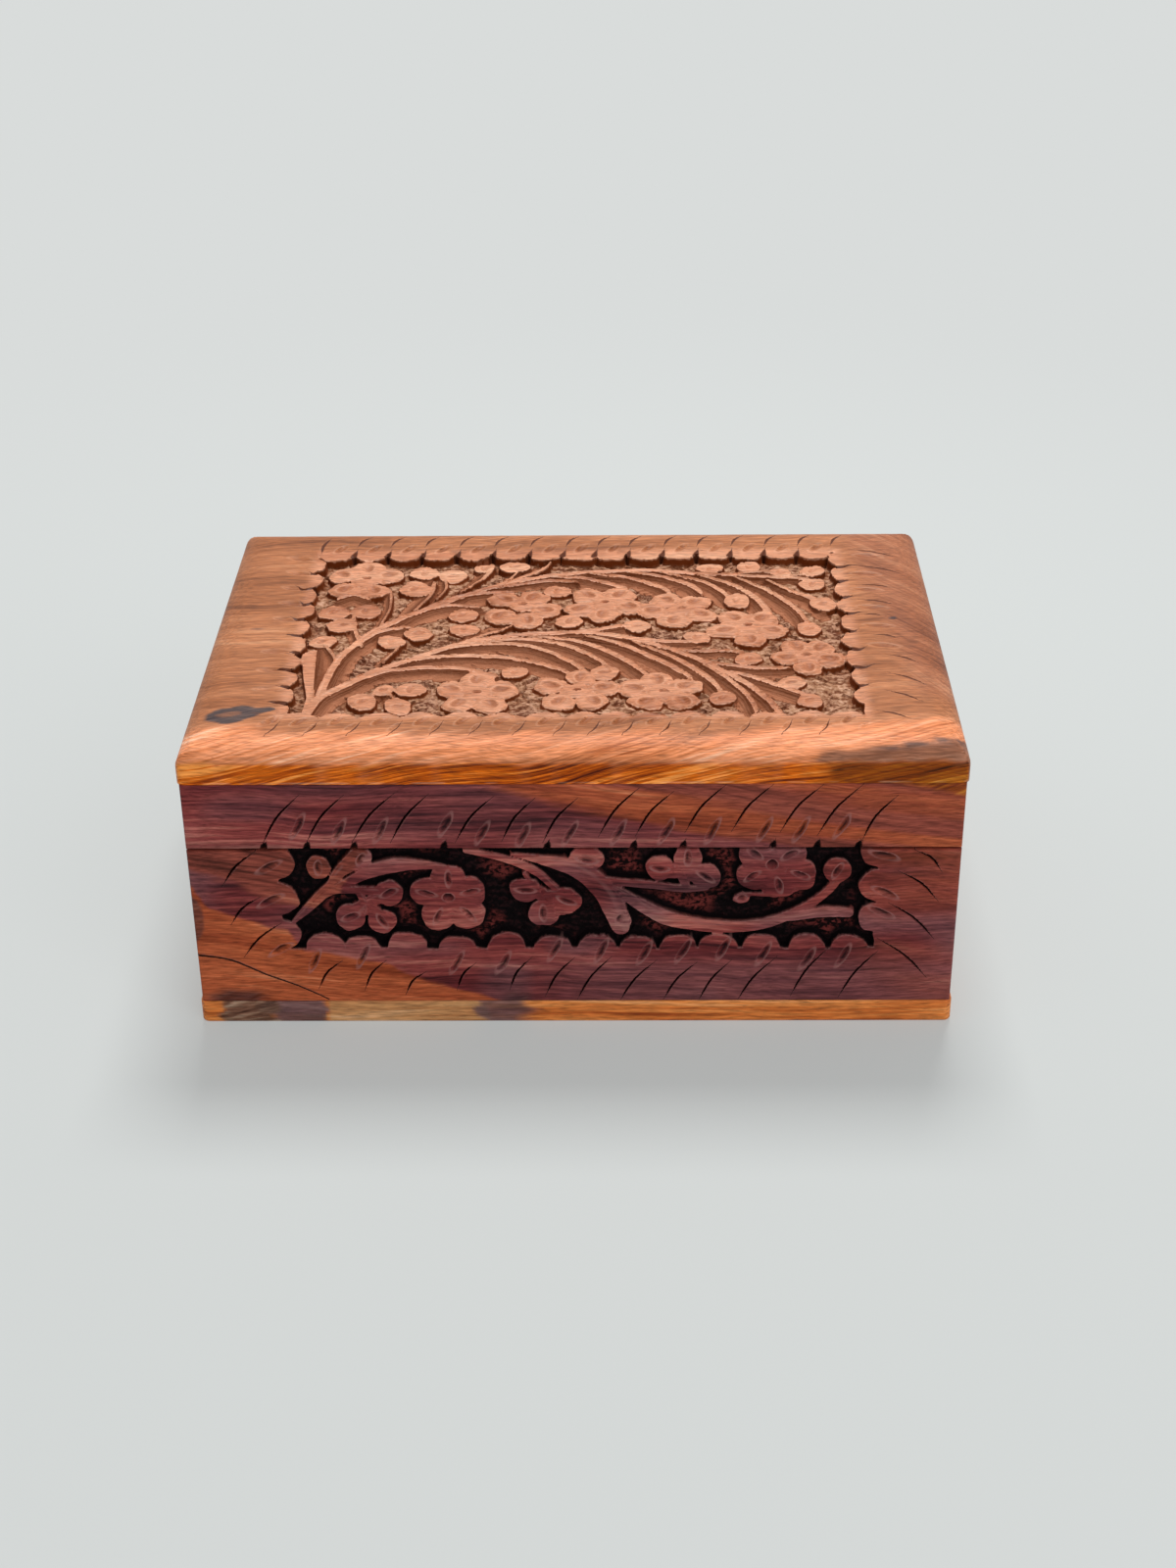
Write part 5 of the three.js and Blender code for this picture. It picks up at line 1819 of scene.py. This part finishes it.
@dataclass
class FrontWall(CarvedBoard):
    """The body's front board, whose recess runs out through its upper edge."""

    def carve(self, relief: Relief) -> None:
        """Cuts the vine, the scallops, the veins and the crack of the lower margin.

        Args:
            relief: The carving.
        """
        lobes = [Oval(u, v, length=7.7, width=8.8, square=2.5) for u, v in FRONT_TIPS]
        lobes += [Oval(*sizes) for sizes in FRONT_SIDE_LOBES]
        relief.stand(Border(left=-58.0, right=59.5, bottom=17.8, top=FAR, lobes=lobes), waver=0.3)
        for number, stroke in enumerate(FRONT_STROKES):
            relief.stand(stroke, lowered=0.1 + 0.08 * math.sin(2.3 * number), crown=0.2, waver=0.08)
        for number, (u, v, length, width, dimple, *turn) in enumerate(FRONT_LOBES):
            lowered = 0.15 + 0.1 * math.sin(1.7 * number)
            relief.stand(Oval(u, v, length, width, *turn), lowered=lowered, crown=0.3, waver=0.3)
            relief.scoop((u, v), (0.62 * length, 1.4), dimple, depth=0.5)
        for joint, tips in FRONT_CLUSTERS:
            for tip in tips:
                relief.stand(Stroke((joint, tip), (1.6, 4.6), steps=4), lowered=0.2, crown=0.3)
        for flower in FRONT_FLOWERS:
            relief.stand(flower, lowered=0.1, crown=0.35, waver=0.35)
            relief.scoops += flower.scoops(depth=0.5, round=0.5, ink=1.0)
        for place in FRONT_DIMPLES:
            relief.scoop(place, (5.4, 1.4), turn=-117, depth=DIMPLE_DEPTH)
        for u, v, turn in FRONT_SIDE_DIMPLES:
            relief.scoop((u, v), (5.4, 1.5), turn, depth=0.5)
        for start, end in FRONT_VEINS:
            relief.vein(start, end, VEIN_WIDTH, 0.7 if start[0] < end[0] else -0.7, VEIN_DEPTH)
        relief.gouge(FRONT_CRACK, (0.5, 0.4, 0.3), depth=0.25)

    def zones(self, u: Map, v: Map) -> dict[str, Map]:
        """Paints the orange sapwood at the lower left, the dull wood above it and the darker patches.

        Args:
            u: Places along the face.
            v: Places up the face.

        Returns:
            The share of each zone.
        """
        wander = 1.6 * Grain(41, 14.0, 4.0, -0.2).at(u, v) + 0.8 * Grain(42, 4.0, 1.2, -0.2).at(u, v)
        edge = ((-76, 33), (-72, 27.5), (-62, 24.6), (-57, 22), (-54, 17), (-46, 15.4), (-38, 13.4),
                (-30, 10.2), (-23, 8.0), (-14, 5.0), (-4, 2.0), (76, -2))
        sap = band(edge, u, v, 1.6, wander)
        brow = (-76, 36), (-68, 32.6), (-58, 29.6), (-48, 27), (-30, 60), (76, 60)
        upper = 1.0 - band(brow, u, v, 2.0, wander)
        warm = 0.3 * rise(u, 40.0, 30.0) * rise(v + wander, 24.0, 8.0)
        streaky = smooth_step(0.5 + 1.2 * Grain(44, 40.0, 4.0, -0.1).at(u, v))
        right = 0.5 * rise(u, 50.0, 20.0) * streaky
        stain = rise(spot(u, v, (-12.0, 4.5), (4.5, 5.0)) + 0.15 * wander, -0.1, 0.9)
        left = rise(spot(u, v, (-76.4, 25.0), (3.0, 5.6)), -0.1, 0.2)
        blotch = rise(spot(u, v, (-66.5, 5.0), (6.5, 4.4)) + 0.3 * wander, 0.0, 0.8)
        taupe = 0.7 * smooth_step(0.25 + 0.8 * Grain(43, 13.0, 6.0).at(u, v))
        mauve = 0.55 * rise(-v, -18.0, 6.0) * rise(u, -20.0, 30.0)
        return {"taupe": np.maximum(taupe, mauve) * (1.0 - sap),
                "dull": np.maximum(upper, right),
                "sap": np.maximum(sap, warm),
                "knot": np.maximum.reduce([0.5 * stain, 0.6 * left, 0.75 * blotch])}


@dataclass
class LidFrontRail(CarvedBoard):
    """The strip of the lid that was sawn from the top of the front board."""

    def carve(self, relief: Relief) -> None:
        """Cuts the veins, the dimples and the nicks that run up from the seam.

        Args:
            relief: The carving.
        """
        for start, end in RAIL_VEINS:
            relief.vein(start, end, VEIN_WIDTH, -0.8, VEIN_DEPTH)
        for place in RAIL_DIMPLES:
            relief.scoop(place, (5.4, 1.4), turn=-117, depth=DIMPLE_DEPTH)
        for u in RAIL_NICKS:
            relief.gouge(((u, 40.6), (u + 0.2, 41.8), (u + 0.5, 42.8)), (1.8, 1.4, 0.1), depth=1.1, steps=6)

    def zones(self, u: Map, v: Map) -> dict[str, Map]:
        """Paints the red and orange bands towards the right.

        Args:
            u: Places along the face.
            v: Places up the face.

        Returns:
            The share of each zone.
        """
        wander = 1.6 * Grain(51, 30.0, 3.0, -0.12).at(u, v) + 0.5 * Grain(52, 8.0, 1.0, -0.12).at(u, v)
        edge = (-76, 62), (-20, 56.5), (-4, 51.5), (10, 49), (30, 44), (50, 41), (76, 38)
        upper = 1.0 - band(edge, u, v, 2.5, wander)
        figure = smooth_step(0.5 + 1.4 * Grain(53, 60.0, 3.2, -0.13).at(u, v))
        wedge = rise(v + 0.2 * u + 0.5 * wander, 67.6, 1.2) * rise(u, 54.0, 6.0)
        low = rise(-u, 52.0, 6.0) * rise(wander - v, -44.0, 2.0)
        return {"dull": upper * (1.0 - 0.6 * figure), "sap": 0.85 * upper * figure, "heart": 0.7 * wedge,
                "taupe": 0.35 * smooth_step(0.4 + Grain(54, 16.0, 5.0).at(u, v)), "knot": 0.35 * low}


END_FLOWERS = (
    Flower(-9, 30, ((-8.8, 34.4), (-13.2, 31), (-4.6, 31.2), (-11.4, 25.8), (-5.6, 26)),
           hollow=(3.6, 1.3), centre=(2.3, 2.1)),
    Flower(16, 31, ((16.4, 35.4), (11.8, 32.2), (20.6, 32), (13.6, 26.8), (19.4, 26.8)),
           hollow=(3.6, 1.3), centre=(2.3, 2.1)),
)
END_LOBES = (
    Oval(-24, 25, 5.8, 5.8), Oval(-19.5, 30, 5.8, 5.6),
    Oval(1.5, 25, 5.8, 5.8), Oval(5, 30, 5.6, 5.8),
)
END_STROKES = (
    Stroke(((-28.5, 25.8), (-24, 30.8), (-20, 34.8), (-10, 38.4), (2, 37.2)), (0.8, 2.2, 2.6, 2.6, 1.4)),
    Stroke(((-1, 38), (4, 35.6), (8.4, 31.6), (12, 26.6), (18, 23.4), (26, 25.8)),
           (0.8, 2.2, 2.6, 2.4, 2.2, 1)),
    Stroke(((-25, 30.2), (-22.4, 28.4), (-21.4, 27)), (1.2, 1.4, 1.2)),
    Stroke(((5.4, 34.6), (4.4, 32), (3.2, 27.6)), (1.2, 1.4, 1.2)),
)
END_TIPS = (-26.6, -18.9, -11.3, -3.8, 3.8, 11.3, 18.9, 26.6)


@dataclass
class EndWall(CarvedBoard):
    """A side board of the body, with a shorter run of the front's carving."""

    along: Rule = Rule(0.4, 3, (-36.0, 36.0), (0.5, 0.32, 0.5))
    up: Rule = Rule(0.4, 3, (), (0.32,))

    def carve(self, relief: Relief) -> None:
        """Cuts the vine, the scallops and the veins.

        Args:
            relief: The carving.
        """
        lobes = [Oval(u, 16.6, length=7.9, width=8.4) for u in END_TIPS]
        lobes += [Oval(side * 33.4, v, length=8.4, width=8.0) for side in (-1, 1) for v in (22.4, 30.4, 38.4)]
        relief.stand(Border(left=-32.6, right=32.6, bottom=17.2, top=FAR, lobes=lobes), waver=0.12)
        for stroke in END_STROKES:
            relief.stand(stroke, lowered=0.1, crown=0.3, waver=0.08)
        for number, lobe in enumerate(END_LOBES):
            relief.stand(lobe, lowered=0.15, crown=0.3, waver=0.3)
            relief.scoop((lobe.u, lobe.v), (3.6, 1.4), 30 + 45 * number, depth=0.5)
        for flower in END_FLOWERS:
            relief.stand(flower, lowered=0.1, crown=0.35, waver=0.35)
            relief.scoops += flower.scoops(depth=0.5, round=0.5, ink=1.0)
        for u in END_TIPS:
            relief.scoop((u + 0.4, 15.6), (5.2, 1.4), turn=63, depth=DIMPLE_DEPTH)
            relief.vein((u + 3.2, 14.4), (u - 1.8, 7.2), VEIN_WIDTH, -0.6, VEIN_DEPTH)
        for side in (-1, 1):
            for v in (24.4, 32.4):
                relief.scoop((side * 34.6, v), (4.4, 1.4), side * -28, depth=0.5)

    def zones(self, u: Map, v: Map) -> dict[str, Map]:
        """Paints a streak of orange sapwood along the lower edge."""
        wander = 2.0 * Grain(61, 16.0, 4.0, 0.15).at(u, v)
        return {"sap": 0.8 * band(((-45, 12), (-20, 9), (10, 13), (45, 7)), u, v, 3.0, wander)}


@dataclass
class EndRail(CarvedBoard):
    """A side strip of the lid."""

    along: Rule = Rule(0.4, 3, (), (0.34,))
    up: Rule = Rule(0.4, 3, (), (0.34,))

    def carve(self, relief: Relief) -> None:
        """Cuts the veins and the dimples.

        Args:
            relief: The carving.
        """
        for u in END_TIPS:
            relief.vein((u + 1.6, 52.8), (u - 5.0, 43.2), VEIN_WIDTH, -0.8, VEIN_DEPTH)
            relief.scoop((u + 1.6, 45.4), (5.2, 1.4), turn=63, depth=DIMPLE_DEPTH)

    def zones(self, u: Map, v: Map) -> dict[str, Map]:
        """Paints a faint orange figure."""
        return {"sap": 0.3 * smooth_step(0.5 + 1.4 * Grain(63, 40.0, 3.0, 0.1).at(u, v))}


def eased(node: str, body: Body, slot: Slot, width: float, material: Material) -> Object:
    """Makes a copy of a CAD node with its arrises eased.

    Args:
        node: The CAD node.
        body: The body that it rides on.
        slot: Its slot.
        width: The width of the easing in millimetres.
        material: Its finish.

    Returns:
        The piece, in place of the node.
    """
    shell = bmesh.new()
    shell.from_mesh(bpy.data.objects[node].data)
    bmesh.ops.remove_doubles(shell, verts=shell.verts, dist=1e-6)
    bmesh.ops.dissolve_limit(shell, angle_limit=math.radians(1), verts=shell.verts, edges=shell.edges)
    piece = piece_from(shell, node + "_eased", material)
    arrises = piece.modifiers.new("arrises", "BEVEL")
    arrises.width = width * MM
    arrises.segments = 2
    arrises.limit_method = "ANGLE"
    arrises.angle_limit = math.radians(40)
    arrises.use_clamp_overlap = True
    arrises.harden_normals = True
    soften(piece.data, 40)
    return mount(piece, body, slot, node)


@dataclass
class PlainBoards:
    """The boards without carving: the base, and the hinged back of the body and of the lid."""

    back_arris: float = 0.4
    base_arris: float = 0.35
    base_corner: float = 1.5

    def build(self, finishes: Finishes) -> None:
        """Makes the three boards."""
        self.base(finishes.base)
        eased("back_wall", Body.BOX, Slot.SIDE, self.back_arris, finishes.side)
        eased("lid_back_rail", Body.LID, Slot.SIDE, self.back_arris, finishes.side)

    def base(self, material: Material) -> None:
        """Makes the base board with rounded corners and eased arrises.

        Args:
            material: The wood.
        """
        shell = block("base_board")
        bevel(shell, [edge for edge in shell.edges if self.span(edge).z > TINY], self.base_corner, 5)
        bevel(shell, [edge for edge in shell.edges if edge.calc_face_angle(0.0) > 0.9], self.base_arris, 2)
        # The painted edge needs close points along it, and a few up it.
        lengthwise = [edge for edge in shell.edges if self.span(edge).x > 100 * MM]
        bmesh.ops.subdivide_edges(shell, edges=lengthwise, cuts=220, use_grid_fill=True)
        upright = [edge for edge in shell.edges if self.span(edge).z > 3 * MM]
        bmesh.ops.subdivide_edges(shell, edges=upright, cuts=7, use_grid_fill=True)
        piece = piece_from(shell, "base_board_eased", material)
        for label, values in self.zones(*places_of(piece.data).T / MM).items():
            paint(piece.data, label, values)
        soften(piece.data, 50)
        mount(piece, Body.BOX, Slot.BASE, "base_board")

    def span(self, edge: BMEdge) -> Vector:
        """Gives how far an edge runs along each axis."""
        return Vector(abs(b - a) for a, b in zip(edge.verts[0].co, edge.verts[1].co))

    def zones(self, x: Map, y: Map, z: Map) -> dict[str, Map]:
        """Paints the rough bark, the smooth slate patch, the tan stretch and the stain of the front edge.

        Args:
            x: Places from left to right.
            y: Places from front to back.
            z: Heights.

        Returns:
            The share of each zone.
        """
        wander = 1.6 * Grain(91, 4.0, 1.5).at(x, z)
        front = rise(-y, 46.0, 4.0)
        bark = rise(x + wander, -72.5, 1.2) * rise(1.5 * wander - x, 60.5, 1.5)
        slate = rise(x + 2.0 * wander, -63.0, 2.5) * rise(0.6 * wander - x, 50.0, 0.8)
        tan = rise(x, -50.5, 1.0) * rise(wander - x, 16.5, 2.0)
        stain = rise(x + 0.8 * z + wander, -18.0, 1.6) * rise(1.5 * wander - x, 7.0, 5.0)
        return {"knot": 0.95 * front * bark, "heart": 0.85 * front * tan,
                "slate": front * np.maximum(0.9 * slate, 0.85 * stain)}


@dataclass
class Linings:
    """The velvet-covered cards of the compartment and the lid, soft at their folded edges."""

    fold: float = 0.55

    def build(self, material: Material) -> None:
        """Makes all the cards."""
        for place in ("floor", "front", "back", "left", "right"):
            self.card(place + "_lining", Body.BOX, material)
        self.card("lid_lining", Body.LID, material)

    def card(self, node: str, body: Body, material: Material) -> None:
        """Makes one covered card.

        Args:
            node: The CAD card that it stands for.
            body: The body that it rides on.
            material: The velvet.
        """
        shell = block(node)
        bevel(shell, list(shell.edges), self.fold, 3)
        piece = piece_from(shell, node + "_velvet", material)
        soften(piece.data, 60)
        mount(piece, body, Slot.VELVET, node)


@dataclass
class Hinges:
    """The two brass butt hinges, with the widths of the easing of their leaves, pins and screws."""

    leaf: float = 0.12
    pin: float = 0.15
    screw: float = 0.06

    def build(self, finishes: Finishes) -> None:
        """Finishes the leaves, the pins and the screws.

        Args:
            finishes: The box's finishes.
        """
        for side in ("left", "right"):
            eased(f"{side}_hinge_body_leaf", Body.BOX, Slot.BRASS, self.leaf, finishes.brass)
            eased(f"{side}_hinge_lid_leaf", Body.LID, Slot.BRASS, self.leaf, finishes.brass)
            eased(f"{side}_hinge_pin", Body.BOX, Slot.PIN, self.pin, finishes.pin)
            for end in ("outer", "inner"):
                eased(f"{side}_body_screw_{end}", Body.BOX, Slot.BRASS, self.screw, finishes.brass)
                eased(f"{side}_lid_screw_{end}", Body.LID, Slot.BRASS, self.screw, finishes.brass)


@dataclass
class Studio:
    """The pale floor, the soft lights and the camera.

    aim is what the lights point at, in metres. The camera's place is in millimetres, and it looks down by
    pitch, aside by yaw and leans by roll, in degrees.
    """

    background: str = "#d9dcdb"
    aim: tuple[float, ...] = (0.0, 0.0, 0.03)
    lens: float = 54.07
    sensor: float = 36.0
    place: tuple[float, ...] = (9.5, -440.7, 282.3)
    pitch: float = 30.2
    yaw: float = -0.95
    roll: float = -0.65

    def build(self) -> None:
        """Sets the camera, the floor, the world and two lights, the main one above and behind."""
        self.camera()
        self.floor()
        self.world()
        self.light("main", (0.05, 0.5, 1.05), size=0.4, power=12.0)
        self.light("fill", (0.5, -0.9, 0.5), size=0.9, power=4.2)

    def floor(self) -> None:
        """Lays a sheet of matt paper, which shows the background's colour and keeps the soft shadow."""
        shell = bmesh.new()
        bmesh.ops.create_grid(shell, x_segments=1, y_segments=1, size=6.0)
        shade = Shade("pale_paper")
        add = shade.add
        shade.look({"Base Color": linear("#c4c8c6"), "Roughness": 0.9})
        glow = add("Emission", linear(self.background), 1.0)
        away = add("VectorMath", add("TexCoord", output="Object"), operation="LENGTH")
        far = add("MapRange", away, 0.10, 0.42, 0.45, 1.0, interpolation_type="SMOOTHSTEP")
        share = add("Math", shade.seen(), far, operation="MULTIPLY")
        shade.feed(shade.output, {"Surface": add("MixShader", share, shade.surface, glow)})
        piece_from(shell, "floor", shade.material)

    def light(self, name: str, place: Sequence[float], size: float, power: float) -> None:
        """Hangs one square soft light.

        Args:
            name: Its name.
            place: Where it hangs, in metres.
            size: The length of its side.
            power: Its power in watts.
        """
        lamp = bpy.data.lights.new(name, "AREA")
        lamp.shape = "SQUARE"
        lamp.size = size
        lamp.energy = power
        holder = bpy.data.objects.new(name, lamp)
        holder.location = place
        holder.rotation_euler = (Vector(self.aim) - Vector(place)).to_track_quat("-Z", "Y").to_euler()
        bpy.context.scene.collection.objects.link(holder)

    def world(self) -> None:
        """Fills the room with soft pale light, and shows the background's colour beyond the floor."""
        world = bpy.data.worlds.new("room")
        nodes = Nodes(world, "ShaderNodeOutputWorld")
        soft = nodes.add("Background", linear("#f2f4f6"), 0.36)
        shown = nodes.add("Background", linear(self.background), 1.0)
        nodes.feed(nodes.output, {"Surface": nodes.add("MixShader", nodes.seen(), soft, shown)})
        bpy.context.scene.world = world

    def camera(self) -> None:
        """Sets the camera to the photograph's viewpoint."""
        pitch, yaw, roll = (math.radians(angle) for angle in (self.pitch, self.yaw, self.roll))
        ahead = Vector((math.sin(yaw) * math.cos(pitch), math.cos(yaw) * math.cos(pitch), -math.sin(pitch)))
        right = Vector((math.cos(yaw), -math.sin(yaw), 0.0))
        up = right.cross(ahead)
        turned_right = math.cos(roll) * right + math.sin(roll) * up
        turned_up = math.cos(roll) * up - math.sin(roll) * right
        lens = bpy.data.cameras.new("camera")
        lens.lens = self.lens
        lens.sensor_width = self.sensor
        lens.clip_start = 10 * MM
        holder = bpy.data.objects.new("camera", lens)
        turned = Matrix((turned_right, turned_up, -ahead)).transposed().to_4x4()
        holder.matrix_world = Matrix.Translation(Vector(self.place) * MM) @ turned
        bpy.context.scene.collection.objects.link(holder)
        bpy.context.scene.camera = holder


def main() -> None:
    """Builds the studio and the box."""
    logging.basicConfig(level=logging.INFO, format="%(message)s")
    bpy.context.scene.view_settings.view_transform = "Standard"
    finishes = Finishes()
    Studio().build()
    LidPanel("lid_top_panel", Body.LID, Slot.PANEL, Face.TOP).build(finishes.panel)
    FrontWall("front_wall", Body.BOX, Slot.DARK, Face.FRONT).build(finishes.front)
    LidFrontRail("lid_front_rail", Body.LID, Slot.DARK, Face.FRONT).build(finishes.front)
    for side, face in (("left", Face.LEFT), ("right", Face.RIGHT)):
        EndWall(f"{side}_wall", Body.BOX, Slot.SIDE, face).build(finishes.across)
        EndRail(f"lid_{side}_rail", Body.LID, Slot.SIDE, face).build(finishes.across)
    PlainBoards().build(finishes)
    Linings().build(finishes.velvet)
    Hinges().build(finishes)


if __name__ == "__main__":
    main()
